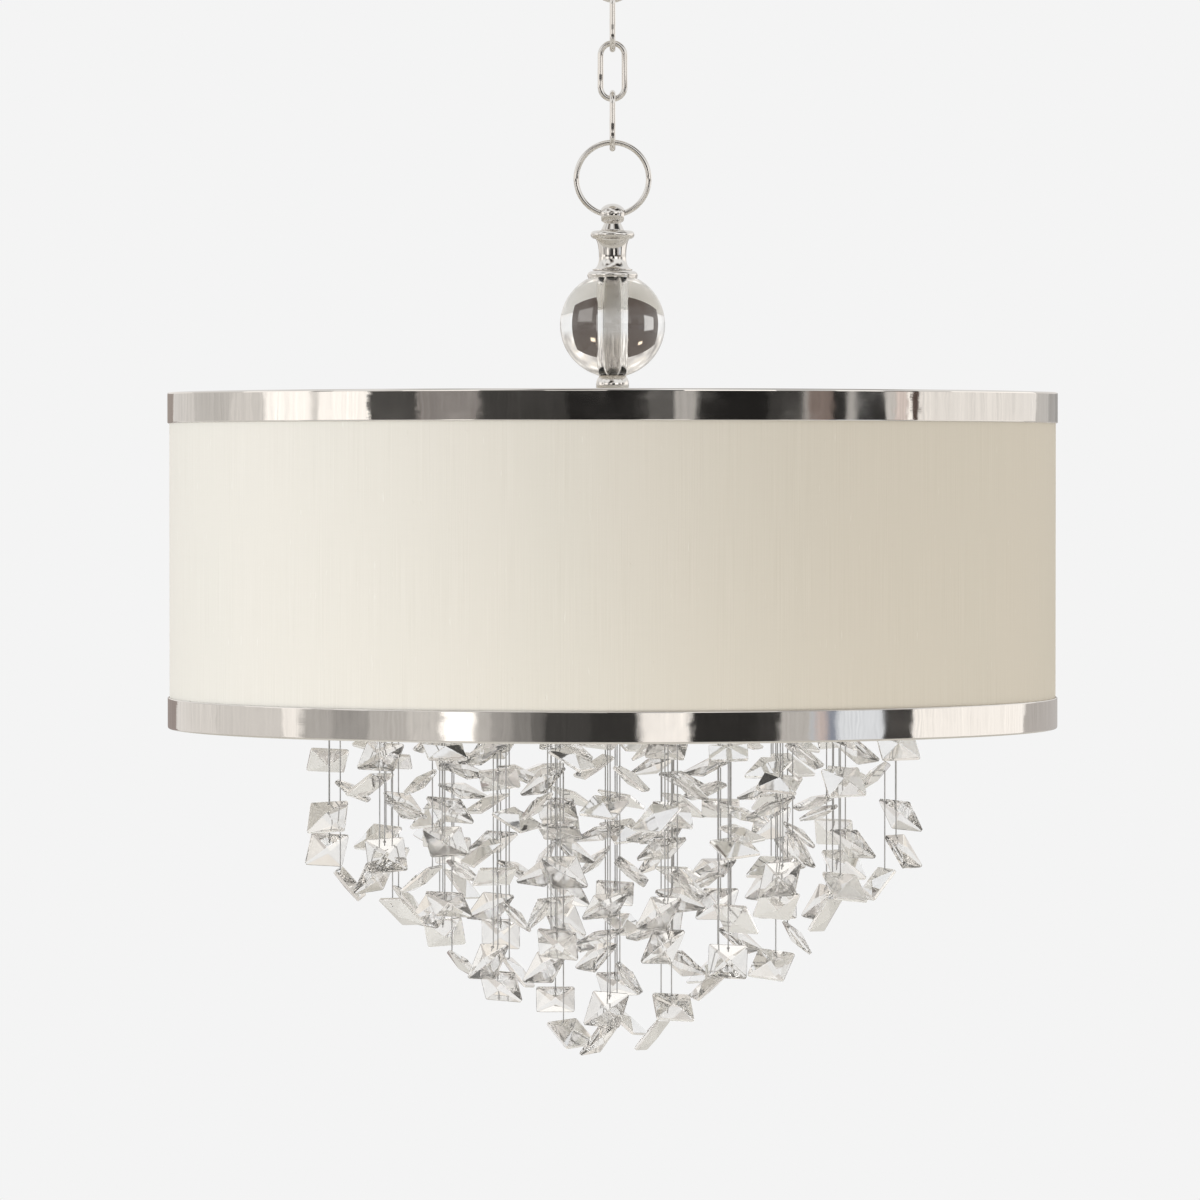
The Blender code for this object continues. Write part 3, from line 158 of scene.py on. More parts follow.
class Graph:
    """Short calls that build a node tree. A value is a number, a colour or another node's output."""

    def __init__(self, tree):
        self.tree = tree

    def add(self, kind, inputs=(), **settings):
        node = self.tree.nodes.new("ShaderNode" + kind)
        for name, value in settings.items():
            setattr(node, name, value)
        for name, value in dict(inputs).items():
            self.put(node.inputs[name], value)
        return node

    def put(self, socket, value):
        if isinstance(value, bpy.types.NodeSocket):
            self.tree.links.new(value, socket)
        else:
            socket.default_value = colour_of(value) if socket.type == "RGBA" else value

    def math(self, operation, *values):
        node = self.add("Math", operation=operation)
        for socket, value in zip(node.inputs, values):
            self.put(socket, value)
        return node.outputs[0]

    def remap(self, value, low, high, to_low=0.0, to_high=1.0):
        spans = {"From Min": low, "From Max": high, "To Min": to_low, "To Max": to_high}
        return self.add("MapRange", {"Value": value, **spans}).outputs[0]

    def mix(self, share, first, second):
        node = self.add("Mix", data_type="RGBA")
        for index, value in ((0, share), (6, first), (7, second)):
            self.put(node.inputs[index], value)
        return node.outputs[2]

    def scaled(self, colour, factor):
        inputs = {"Vector": colour, "Scale": factor}
        return self.add("VectorMath", inputs, operation="SCALE").outputs[0]

    def split(self, vector):
        return tuple(self.add("SeparateXYZ", {"Vector": vector}).outputs)

    def pair(self, first, first_scale, second, second_scale):
        """Two scaled values as a texture's vector."""
        x = self.math("MULTIPLY", first, first_scale)
        y = self.math("MULTIPLY", second, second_scale)
        return self.add("CombineXYZ", {"X": x, "Y": y}).outputs[0]

    def noise(self, vector, scale, detail=2.0, roughness=0.5):
        inputs = {"Vector": vector, "Scale": scale, "Detail": detail, "Roughness": roughness}
        return self.add("TexNoise", inputs).outputs[0]

    def coordinates(self, scale=(1, 1, 1)):
        place = self.add("TexCoord").outputs["Object"]
        return self.add("Mapping", {"Vector": place, "Scale": scale}).outputs[0]

    def turn_round(self, x, y):
        """The turn about the upright axis in radians, 0 on the camera's side, positive to its right."""
        return self.math("ARCTAN2", x, self.math("MULTIPLY", y, -1.0))

    def ramp(self, value, stops, interpolation="LINEAR"):
        """stops are (position, grey level or colour)."""
        node = self.add("ValToRGB", {"Fac": value})
        node.color_ramp.interpolation = interpolation
        elements = node.color_ramp.elements
        for i, (position, colour) in enumerate(stops):
            element = elements[i] if i < len(elements) else elements.new(position)
            element.position = position
            element.color = colour_of(colour)
        return node.outputs[0]

    def dress(self, shader, colour, roughness, height, depth, strength=1.0):
        """Gives a Principled shader its colour, its roughness and a relief of a depth in metres."""
        inputs = {"Height": height, "Distance": depth, "Strength": strength}
        normal = self.add("Bump", inputs).outputs[0]
        for name, value in (("Base Color", colour), ("Roughness", roughness), ("Normal", normal)):
            self.put(shader.inputs[name], value)


# What polished metal mirrors: (degrees to the right of the camera's side, brightness or colour).
# ROOM_LEVEL lies level with the drum, ROOM_LOW just under it and ROOM_HIGH above it.
ROOM_LEVEL = [
    (-180, (0.38, 0.33, 0.30)), (-158, 0.76), (-137, 0.64), (-116, 0.80), (-100, 1.35), (-83, 0.85),
    (-81, 1.35), (-66, 0.088), (-52, (0.29, 0.27, 0.26)), (-34, 0.066), (-23, 0.056), (-12, 0.021),
    (8, 0.12), (15, 0.50), (20, 0.020), (39, 0.05), (48, 0.45), (50, (0.24, 0.19, 0.17)), (57, 0.03),
    (61, 0.50), (64, 0.04), (72, 0.70), (75, (0.80, 0.70, 0.66)), (79, 1.30), (80.5, (0.11, 0.08, 0.07)),
    (83, 0.98), (140, 0.62), (152, 0.46), (164, 0.38),
]
ROOM_LOW = [
    (-180, (0.36, 0.31, 0.29)), (-154, 0.85), (-123, 0.78), (-94, 1.15), (-88, 0.85), (-87, 0.53),
    (-76, 0.41), (-65, 0.60), (-54, 0.72), (-44, 1.7), (-36, 0.60), (-31, 0.42), (-26, 0.28), (-21, 0.17),
    (-17, 0.07), (-6, 0.045), (6, 1.2), (19, 0.035), (36, 0.05), (42, 0.60), (51, (0.62, 0.66, 0.72)),
    (53, (0.68, 0.58, 0.55)), (56, (0.30, 0.33, 0.40)), (59, (0.90, 0.94, 1.0)), (72, 0.065), (82, 1.2),
    (131, (0.55, 0.52, 0.50)),
]
ROOM_HIGH = [
    (-180, 0.90), (-140, 0.70), (-110, 1.25), (-84, 0.22), (-76, 0.85), (-55, 1.35), (-34, 0.42),
    (-18, 1.05), (-2, 0.03), (17, 1.60), (42, 0.38), (58, 1.15), (72, 0.08), (84, 0.70), (96, 1.25),
    (140, 0.78),
]
# The room further up and down, as (value of a slow noise, brightness or colour)
CEILING_BLOTCHES = [(0.36, 0.04), (0.43, (0.44, 0.40, 0.37)), (0.52, 0.60), (0.60, 0.95)]
GROUND_BLOTCHES = [(0.34, 0.10), (0.42, 0.75), (0.55, 0.95), (0.66, 0.60)]
GLASS_BLOTCHES = [(0.30, (0.36, 0.33, 0.31)), (0.43, (0.63, 0.59, 0.555)), (0.52, (0.81, 0.77, 0.73)),
                  (0.60, (0.96, 0.89, 0.80)), (0.66, (1.20, 1.18, 1.15))]


def warm(level):
    """A grey level of the room with a warm tint. Colours stay as they are."""
    return level if isinstance(level, tuple) else (level, 0.965 * level, 0.93 * level)


def room_ramp(graph, turn, room):
    stops = [((angle_deg + 180) / 360, warm(level)) for angle_deg, level in room]
    return graph.ramp(turn, stops, "CONSTANT")


def mirrored_room(graph, way):
    """The room as metal mirrors it: upright stripes near eye level, blotches further up and down."""
    x, y, z = graph.split(way)
    turn = graph.remap(graph.turn_round(x, y), -pi, pi)
    rise = graph.math("ARCSINE", z)

    def risen(start_deg, end_deg):
        return graph.remap(rise, radians(start_deg), radians(end_deg))

    wobble = graph.noise(graph.pair(turn, 30.0, rise, 230.0), 1.0, 2)
    bent = graph.math("ADD", turn, graph.remap(wobble, 0.0, 1.0, -0.010, 0.010))
    level, low = (room_ramp(graph, bent, room) for room in (ROOM_LEVEL, ROOM_LOW))
    room = graph.mix(risen(-0.4, -1.2), level, low)
    streak = graph.noise(graph.pair(turn, 600.0, rise, 25.0), 1.0, 3)
    room = graph.scaled(room, graph.remap(streak, 0.3, 0.7, 0.80, 1.12))
    room = graph.mix(risen(1.6, 2.6), room, room_ramp(graph, turn, ROOM_HIGH))
    blotch = graph.noise(way, 2.0, 0)
    behind = graph.remap(y, -0.15, 0.25)
    for stops, start_deg, end_deg in ((CEILING_BLOTCHES, 8, 15), (GROUND_BLOTCHES, -8, -15)):
        half = graph.mix(behind, graph.ramp(blotch, stops), FAR_WALL)
        room = graph.mix(risen(start_deg, end_deg), room, half)
    return room


def glass_room(graph, way):
    """What glass bends into view: the white wall at eye level, a dim warm room above and below."""
    rise = graph.math("ABSOLUTE", graph.split(way)[2])
    away = graph.remap(rise, sin(radians(6)), sin(radians(15)))
    return graph.mix(away, WHITE_WALL, graph.ramp(graph.noise(way, 3.6, 1), GLASS_BLOTCHES))


def make_world():
    """White behind the chandelier, soft light from all sides, and a room for metal and glass."""
    world = bpy.data.worlds.new("world")
    bpy.context.scene.world = world
    world.use_nodes = True
    world.node_tree.nodes.clear()
    graph = Graph(world.node_tree)
    way = graph.add("TexCoord").outputs["Generated"]
    x, _, z = graph.split(way)
    soft = graph.mix(graph.remap(x, -1, 1), 0.42, (0.29, 0.262, 0.212))
    soft = graph.scaled(soft, graph.remap(z, 0.0, 0.8, 0.30, 2.45))
    rays = graph.add("LightPath").outputs
    colour = graph.mix(rays["Is Glossy Ray"], soft, mirrored_room(graph, way))
    colour = graph.mix(rays["Is Transmission Ray"], colour, glass_room(graph, way))
    colour = graph.mix(rays["Is Camera Ray"], colour, WHITE_WALL)
    shader = graph.add("Background", {"Color": colour})
    graph.add("OutputWorld", {"Surface": shader.outputs[0]})


def stage_plane(name, corners, material):
    """One flat face that belongs to the stage."""
    mesh = bpy.data.meshes.new(name)
    mesh.from_pydata(corners, [], [range(len(corners))])
    mesh.materials.append(material)
    obj = new_object(name, mesh)
    return obj


def make_floor():
    """A round pale floor under the chandelier, open to a camera that looks up from below it."""
    material, graph, shader = new_material("floor", Roughness=0.7)
    grain = graph.noise(graph.coordinates(), 3.0, 4)
    graph.put(shader.inputs["Base Color"], graph.mix(grain, (0.84, 0.84, 0.83), (0.88, 0.88, 0.87)))
    mixed = graph.add("MixShader")
    sides = (graph.add("NewGeometry").outputs["Backfacing"], shader.outputs[0],
             graph.add("BsdfTransparent").outputs[0])
    for socket, value in zip(mixed.inputs, sides):
        graph.put(socket, value)
    graph.put(graph.tree.nodes["Material Output"].inputs["Surface"], mixed.outputs[0])
    rim = [polar(FLOOR_RADIUS, tau * i / 180, FLOOR_Z) for i in range(180)]
    stage_plane("floor", rim, material).visible_transmission = False


def patch(graph, split, centre_x, centre_z, width, height):
    """1 inside a soft-edged rectangle of the panel, 0 outside it."""
    blur, shares = 0.0015, []
    for axis, centre, size in ((0, centre_x, width), (2, centre_z, height)):
        off = graph.math("ABSOLUTE", graph.math("SUBTRACT", split[axis], centre))
        shares.append(graph.remap(off, size / 2 + blur, size / 2 - blur))
    return graph.math("MULTIPLY", *shares)


def make_ball_card():
    """Painted refraction for the glass ball: a glowing sheet that only rays through glass see, painted as a
    dark room with two lit windows and two lamps in it.
    """
    material, graph, shader = new_material("dark_doorway", Base_Color=0.0, Roughness=1.0,
                                           Specular_IOR_Level=0.0, Emission_Strength=1.0)
    place = graph.coordinates()
    split = graph.split(place)
    # Painted refraction: the sheet glows dark brown with lighter rectangles and spots, so the ball shows a
    # dark room with lit windows and lamps.
    colour = graph.mix(graph.noise(place, 18.0, 2), (0.070, 0.052, 0.043), (0.115, 0.092, 0.080))
    lamp = (1.5, 1.25, 0.95)
    for x, z, width, height, light in (
        (0.047, -0.013, 0.034, 0.022, (0.30, 0.275, 0.26)),
        (-0.075, 0.0, 0.039, 0.028, (0.62, 0.60, 0.585)),
        (0.030, 0.026, 0.008, 0.006, lamp),
        (-0.050, 0.036, 0.010, 0.006, lamp),
    ):
        colour = graph.mix(patch(graph, split, x, z + BALL_Z, width, height), colour, light)
    graph.put(shader.inputs["Emission Color"], colour)
    y, left, right, low, high = 0.15, -0.136, 0.091, BALL_Z - 0.0444, BALL_Z + 0.067
    corners = [(left, y, low), (right, y, low), (right, y, high), (left, y, high)]
    card = stage_plane("dark_doorway", corners, material)
    card.visible_camera = card.visible_diffuse = card.visible_glossy = card.visible_shadow = False


# Materials


def new_material(name, **sockets):
    """A material with its graph and its Principled shader, whose sockets are set by their names."""
    material = bpy.data.materials.new(name)
    material.use_nodes = True
    graph = Graph(material.node_tree)
    shader = material.node_tree.nodes["Principled BSDF"]
    for key, value in sockets.items():
        graph.put(shader.inputs[key.replace("_", " ")], value)
    return material, graph, shader


def nickel_material(name="nickel", wave_scale=11.0, wave_depth=0.00012, ripple=0.0):
    """Polished nickel: faint smears, hair scratches, and waves and ripples that bend what it mirrors."""
    material, graph, shader = new_material(name, Metallic=1.0)
    place = graph.coordinates()
    smear = graph.noise(place, 34.0, 4)
    colour = graph.mix(smear, (0.76, 0.732, 0.695), (0.84, 0.815, 0.78))
    waves = graph.noise(place, wave_scale, 1)
    waves = graph.math("MULTIPLY_ADD", graph.noise(place, 65.0, 1), ripple, waves)
    scratches = graph.noise(graph.coordinates((40, 40, 1400)), 1.0, 3)
    relief = graph.math("MULTIPLY_ADD", scratches, 0.006, waves)
    graph.dress(shader, colour, graph.remap(smear, 0.3, 0.75, 0.02, 0.085), relief, wave_depth)
    return material


def plated_material(name, dark, light, roughness, metallic, grain=260.0):
    """Zinc, paint or brass: a grainy coat with slight blotches."""
    material, graph, shader = new_material(name, Metallic=metallic)
    place = graph.coordinates()
    blotch = graph.noise(place, 45.0, 5, 0.6)
    rough = graph.remap(blotch, 0.3, 0.7, roughness - 0.06, roughness + 0.08)
    graph.dress(shader, graph.mix(blotch, dark, light), rough, graph.noise(place, grain, 3), 0.00003)
    return material


def round_coordinates(graph):
    """(metres round the drum, height), with the cut at the back."""
    x, y, z = graph.split(graph.coordinates())
    return graph.math("MULTIPLY", graph.turn_round(x, y), SHADE_RADIUS), z


def threads(graph, along, across, scale_along, scale_across, detail=2.0):
    """Noise drawn out into threads."""
    return graph.noise(graph.pair(across, scale_across, along, scale_along), 1.0, detail)


def silk_material():
    """Slubbed silk: upright threads that show in places, finer level ones, uneven slubs and knots."""
    material, graph, shader = new_material("silk", Sheen_Weight=0.05, Sheen_Roughness=0.4,
                                           Sheen_Tint=(1.0, 0.97, 0.90), Specular_IOR_Level=0.25)
    turn, height = round_coordinates(graph)

    def upright(*scales):
        return threads(graph, height, turn, *scales)

    warp = upright(14.0, 1300.0)
    plain = graph.remap(upright(10.0, 90.0), 0.40, 0.60, 0.70, 0.0)
    warp = graph.math("MULTIPLY_ADD", plain, graph.math("SUBTRACT", 0.5, warp), warp)
    weft = threads(graph, turn, height, 40.0, 1900.0)
    weave = graph.math("MULTIPLY_ADD", weft, 0.15, warp)
    streak = graph.remap(upright(75.0, 520.0, 1.0), 0.72, 0.80)
    knot = graph.remap(upright(210.0, 480.0, 0.0), 0.80, 0.86)
    tone = graph.mix(graph.remap(weave, 0.35, 0.85), (0.762, 0.730, 0.660), (0.822, 0.790, 0.723))
    tone = graph.mix(graph.math("MULTIPLY", streak, 0.6), tone, (0.90, 0.88, 0.82))
    tone = graph.mix(graph.remap(upright(3.0, 9.0), 0.35, 0.65, 0.0, 0.3), tone, (0.83, 0.78, 0.71))
    relief = graph.math("MULTIPLY_ADD", graph.math("ADD", streak, knot), 0.8, weave)
    graph.dress(shader, tone, graph.remap(weave, 0.35, 0.85, 0.85, 0.65), relief, 0.00012, 0.8)
    return material


def liner_material():
    """The laminate inside the shade: off-white, with the fabric's weave pressed through faintly."""
    material, graph, shader = new_material("liner")
    turn, height = round_coordinates(graph)
    warp = threads(graph, height, turn, 30.0, 900.0)
    weave = graph.math("ADD", warp, threads(graph, turn, height, 30.0, 900.0))
    cloud = graph.noise(graph.coordinates(), 12.0, 3)
    colour = graph.mix(cloud, (0.88, 0.87, 0.85), (0.92, 0.91, 0.895))
    graph.dress(shader, colour, graph.remap(weave, 0.7, 1.3, 0.45, 0.62), weave, 0.00004)
    return material


def glass_material(name, tint, roughness, wave_scale, wave_depth, clear=1.0):
    """Clear glass with a faint tint that varies and slightly uneven faces."""
    material, graph, shader = new_material(name, IOR=1.5, Transmission_Weight=clear)
    place = graph.coordinates()
    blotch = graph.noise(place, 55.0, 2)
    rough = graph.remap(blotch, 0.3, 0.7, roughness, roughness * 2.5)
    colour = graph.mix(blotch, tint, (0.99, 0.99, 0.985))
    graph.dress(shader, colour, rough, graph.noise(place, wave_scale, 2), wave_depth)
    return material


def bulb_material():
    """Frosted glass, white from the inside, with a soft skin."""
    material, graph, shader = new_material("bulb_glass", Transmission_Weight=0.15, Coat_Weight=0.4,
                                           Coat_Roughness=0.12)
    frost = graph.noise(graph.coordinates(), 240.0, 3)
    colour = graph.mix(frost, (0.88, 0.88, 0.86), (0.94, 0.94, 0.92))
    graph.dress(shader, colour, graph.remap(frost, 0.3, 0.7, 0.32, 0.48), frost, 0.00002)
    return material


def pipe_material():
    """Nickel pipe, plain above and threaded below the shade's hub, coloured darker than the other nickel as
    painted shade.
    """
    material, graph, shader = new_material("pipe_nickel", Metallic=1.0)
    place = graph.coordinates()
    brushed = graph.noise(place, 60.0, 3)
    # Painted shade: this nickel is darker than the other nickel, for the pipe in the ball's bore and inside
    # the shade; the brushed tone that varies is its own.
    colour = graph.mix(brushed, (0.48, 0.46, 0.44), (0.62, 0.60, 0.58))
    x, y, z = graph.split(place)
    turn = graph.math("MULTIPLY_ADD", z, tau / THREAD_PITCH, graph.math("ARCTAN2", y, x))
    threaded = graph.remap(z, HUB_TOP, HUB_TOP - 0.001)
    ridge = graph.math("MULTIPLY", graph.math("SINE", turn), threaded)
    graph.dress(shader, colour, graph.remap(brushed, 0.3, 0.7, 0.16, 0.28), ridge, 0.00012)
    return material


NICKEL = nickel_material()
BAND_NICKEL = nickel_material("band_nickel", 7.0, 0.00022, 0.35)
SHADED_PIPE_NICKEL = pipe_material()
ZINC = plated_material("zinc", (0.50, 0.51, 0.53), (0.68, 0.69, 0.70), 0.36, 1.0)
GREEN = plated_material("green_metal", (0.03, 0.22, 0.08), (0.05, 0.34, 0.12), 0.40, 0.5)
BRASS = plated_material("bulb_brass", (0.62, 0.50, 0.28), (0.78, 0.66, 0.40), 0.28, 1.0)
WHITE_METAL = plated_material("white_metal", (0.78, 0.78, 0.76), (0.84, 0.84, 0.82), 0.40, 0.0, 700.0)
SOCKET = plated_material("socket_phenolic", (0.025, 0.025, 0.025), (0.055, 0.053, 0.05), 0.42, 0.0, 900.0)
THREAD = plated_material("crystal_line", (0.36, 0.36, 0.365), (0.55, 0.55, 0.55), 0.30, 0.25, 2500.0)
SILK = silk_material()
LINER = liner_material()
BALL_GLASS = glass_material("ball_glass", (0.965, 0.965, 0.95), 0.0, 24.0, 0.00004)
CRYSTAL_GLASS = glass_material("crystal_glass", (0.93, 0.915, 0.895), 0.012, 90.0, 0.00003, 0.93)
BULB_GLASS = bulb_material()


# Forms: each is (points, faces)


def evenly(start, end, steps):
    """steps + 1 numbers from start to end."""
    return [start + (end - start) * i / steps for i in range(steps + 1)]


def polar(radius, angle, height=0.0):
    return Vector((radius * cos(angle), radius * sin(angle), height))


def arc(centre_r, centre_z, half_width, half_height, start_deg, end_deg, steps=16):
    """Points along an ellipse, with 0 degrees outward and 90 degrees up."""
    angles = [radians(a) for a in evenly(start_deg, end_deg, steps)]
    return [(centre_r + half_width * cos(a), centre_z + half_height * sin(a)) for a in angles]


def tube(outer, bore, foot, top):
    """The outline of a plain tube."""
    return [(outer, top), (outer, foot), (bore, foot), (bore, top)]


def rounded(points, radius, closed=True, steps=4):
    """The outline with each corner sharper than 20 degrees turned into a small curve.

    A point just outside each curve keeps the flats flat under smooth shading.
    """
    points = [Vector(p) for p in points]
    result = []
    for i, here in enumerate(points):
        if not closed and i in (0, len(points) - 1):
            result.append(here)
            continue
        before, after = points[i - 1] - here, points[(i + 1) % len(points)] - here
        short = min(before.length, after.length) < 1e-9
        if short or pi - before.angle(after) < radians(20):
            result.append(here)
            continue
        reach = min(radius, before.length * 0.42, after.length * 0.42)
        back, on = before.normalized() * reach, after.normalized() * reach
        result.append(here + back * 1.15)
        result += [here + back * (1 - t) ** 2 + on * t**2 for t in evenly(0, 1, steps)]
        result.append(here + on * 1.15)
    return [tuple(p) for p in result]


def lathe(profile, steps=64, centre=(0, 0, 0), closed=True, shape=None):
    """A turned form from (radius, height) points. shape(radius, height, angle) gives another radius."""
    points, rings = [], []
    for r, z in profile:
        ring = []
        for i in range(1 if r < 1e-7 else steps):
            angle = tau * i / steps
            radius = shape(r, z, angle) if shape else r
            ring.append(len(points))
            points.append(polar(radius, angle, z) + Vector(centre))
        rings.append(ring)
    faces = []
    pairs = list(zip(rings, rings[1:])) + ([(rings[-1], rings[0])] if closed else [])
    for upper, lower in pairs:
        for i in range(steps):
            corners = [upper[i % len(upper)], upper[(i + 1) % len(upper)]]
            corners += [lower[(i + 1) % len(lower)], lower[i % len(lower)]]
            corners = list(dict.fromkeys(corners))
            if len(corners) > 2:
                faces.append(corners)
    return points, faces


def sweep(path, radius, sides=16, closed=False):
    """A round wire along a path. radius may be a function of the share of the way."""
    path = [Vector(p) for p in path]
    count = len(path)
    points, faces = [], []
    side = None
    for i, here in enumerate(path):
        before = path[i - 1] if closed or i else here
        after = path[(i + 1) % count] if closed or i < count - 1 else here
        along = (after - before).normalized()
        side = along.orthogonal() if side is None else side - along * side.dot(along)
        side.normalize()
        other = along.cross(side)
        r = radius(i / count) if callable(radius) else radius
        for k in range(sides):
            angle = tau * k / sides
            points.append(here + side * r * cos(angle) + other * r * sin(angle))
    for i in range(count if closed else count - 1):
        for k in range(sides):
            a, b = i * sides, (i + 1) % count * sides
            faces.append([a + k, a + (k + 1) % sides, b + (k + 1) % sides, b + k])
    if not closed:
        faces.append(list(range(sides))[::-1])
        faces.append([(count - 1) * sides + k for k in range(sides)])
    return points, faces


def circle(radius, steps, centre, upright=False):
    """Points round a level circle, or round one that stands across Y."""
    turn = Matrix.Rotation(pi / 2, 4, "X") if upright else Matrix.Identity(4)
    return [turn @ polar(radius, tau * i / steps) + Vector(centre) for i in range(steps)]


def moved(form, matrix):
    points, faces = form
    return [matrix @ p for p in points], faces


def mesh_of(name, forms, sharp_deg=38):
    """One mesh of several closed forms, smooth but for its sharp edges."""
    bm = bmesh.new()
    for points, faces in forms:
        verts = [bm.verts.new(p) for p in points]
        for corners in faces:
            bm.faces.new([verts[i] for i in corners])
    bmesh.ops.recalc_face_normals(bm, faces=bm.faces)
    mesh = bpy.data.meshes.new(name)
    bm.to_mesh(mesh)
    bm.free()
    mesh.shade_smooth()
    mesh.set_sharp_from_angle(angle=radians(sharp_deg))
    return mesh


def piece(node, forms, material=NICKEL, body="fixture", name=None, sharp_deg=38):
    """Makes a piece, lets it ride on a body, and shows it in place of a CAD node."""
    name = name or node + "_fine"
    obj = new_object(name, mesh_of(name, forms, sharp_deg))
    obj.data.materials.append(material)
    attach(obj, body)
    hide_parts(node)
    return obj


def carve(obj, forms, sharp_deg=38):
    """Cuts forms out of a piece."""
    cutter = new_object("cutter", mesh_of("cutter", forms))
    modifier = obj.modifiers.new("cut", "BOOLEAN")
    modifier.solver, modifier.operation, modifier.object = "EXACT", "DIFFERENCE", cutter
    bpy.context.view_layer.update()
    mesh = bpy.data.meshes.new_from_object(obj.evaluated_get(bpy.context.evaluated_depsgraph_get()))
    obj.modifiers.clear()
    obj.data = mesh
    mesh.set_sharp_from_angle(angle=radians(sharp_deg))
    bpy.data.objects.remove(cutter)


# Ceiling side


def make_canopy():
    """A domed sheet with a flat middle and a hole for the loop's stem."""
    radius, wall, flat, lip, height = 0.0625, 0.0012, 0.020, -0.004, 0.028
    outer = arc(flat, lip, radius - flat, height + lip, 0, -90, 28)
    inner = arc(flat, lip, radius - wall - flat, height + lip - wall, -90, 0, 28)
    hole = [(STEM_HOLE, -height), (STEM_HOLE, wall - height)]
    shell = lathe(rounded([(radius, 0), *outer, *hole, *inner, (radius - wall, 0)], 0.0005), 128)
    piece("canopy_dome", [shell], body="ceiling_mount", name="canopy_shell")


def make_collar():
    """A screw collar with a knurled middle."""
    foot, top = heights("canopy_collar")
    radius, edge, deepest, fade, ridges = 0.015, 0.0012, 0.00028, 0.0006, 64
    side = [(radius, z) for z in evenly(top - edge, foot + edge, 6)]
    profile = [(radius - edge, top), *side, (radius - edge, foot), (STEM_HOLE, foot), (STEM_HOLE, top)]

    def knurl(r, z, angle):
        inside = min(top - edge - z, z - foot - edge)
        depth = deepest * min(1, max(0, inside / fade)) if r > radius - edge / 2 else 0
        return r - depth * (1 + cos(angle * ridges)) / 2

    collar = lathe(profile, 6 * ridges, shape=knurl)
    piece("canopy_collar", [collar], body="collar", name="canopy_screw_collar", sharp_deg=30)


def make_loop():
    """The threaded stem with its round loop, whose ends run into the boss beside the wireway."""
    stem_top, neck, boss_foot, floor, boss_radius, wireway = -0.018, -0.038, -0.0413, -0.0296, 0.0055, 0.0032
    profile = [(STEM_RADIUS, stem_top), (STEM_RADIUS, neck), (boss_radius, boss_foot), (wireway, boss_foot),
               (wireway, floor), (NIPPLE_HOLE, floor), (NIPPLE_HOLE, stem_top)]
    centre, radius, gap_deg = -0.04965, 0.010, 25
    path = [(x, 0, z) for x, z in arc(0, centre, radius, radius, 90 + gap_deg, 450 - gap_deg, 60)]
    forms = [lathe(rounded(profile, 0.0005), 64), sweep(path, WIRE, 20)]
    piece("canopy_loop", forms, body="ceiling_mount", name="canopy_eye_loop")


def thread_cut(z, angle, pitch, depth):
    """How deep a screw thread is cut at a height and an angle."""
    return depth * (1 + sin(tau * z / pitch + angle)) / 2


def hex_nut_form(name):
    """A 14 mm nut with chamfered corners, in the place of a CAD nut."""
    foot, top = heights(name)
    flat, corner, chamfer = 0.007, 0.014 / sqrt(3), 0.0011
    profile = [(flat, top), (corner, top - chamfer), (corner, foot + chamfer), (flat, foot),
               (NIPPLE_HOLE, foot), (NIPPLE_HOLE, top)]

    def hexagon(r, z, angle):
        if r <= flat:
            return r
        off = (angle + pi / 6) % (pi / 3) - pi / 6
        return min(r, flat / cos(off))

    return lathe(profile, 144, shape=hexagon)


def make_hardware():
    """Nuts, washer and threaded nipple, and materials for the crossbar and its earth screw."""
    nuts = {"canopy_hex_nut": "ceiling_mount", "shade_nut": "fixture", "rack_nut": "fixture"}
    for name, body in nuts.items():
        piece(name, [hex_nut_form(name)], ZINC, body=body, sharp_deg=25)
    washer = lathe(rounded(tube(0.011, PIPE_HOLE, *heights("shade_washer")), 0.0003), 64)
    piece("shade_washer", [washer], ZINC)
    foot, top = heights("canopy_nipple")
    bore = 0.0034
    profile = [(NIPPLE_RADIUS, z) for z in evenly(top, foot, 180)] + [(bore, foot), (bore, top)]

    def thread(r, z, angle):
        return r if r == bore else r - thread_cut(z, angle, THREAD_PITCH, 0.0002)

    nipple = lathe(profile, 40, shape=thread)
    piece("canopy_nipple", [nipple], ZINC, body="ceiling_mount", sharp_deg=60)
    for name, material in (("ceiling_crossbar", ZINC), ("ground_screw", GREEN)):
        node = frame["nodes"][name]
        node.data.materials.clear()
        node.data.materials.append(material)


# Chain, ring, finial


def link_path(top, steps=24):
    """The middle line of a link's wire, in the plane across Y."""
    bend, travel = LINK_WIDTH / 2 - WIRE, LINK_LENGTH - 2 * WIRE
    over, under = (
        [Vector((x, 0, z)) for x, z in arc(0, centre, bend, bend, start_deg, start_deg + 180, steps)]
        for start_deg, centre in ((0, top - bend), (180, top + bend - travel))
    )
    return over + [over[-1].lerp(under[0], k / 8) for k in range(1, 8)] + under


def make_chain():
    """Each link is one bent wire with a faint swelling where it was welded."""
    for i in range(3):
        name = f"chain_link_{i + 1}"
        path = link_path(heights(name)[1] - WIRE)
        if i % 2 == 0:
            path = [Vector((-p.y, p.x, p.z)) for p in path]
        weld = 28.5 / len(path)

        def radius(share):
            return WIRE * (1 + 0.06 * exp(-((share - weld) / 0.012) ** 2))

        piece(name, [sweep(path, radius, 20, True)], body=f"link_{i + 1}")
    centre = (0, 0, sum(heights("hanging_ring")) / 2)
    ring = sweep(circle(RING_RADIUS, 128, centre, upright=True), RING_WIRE, 20, True)
    piece("hanging_ring", [ring], body="ring")


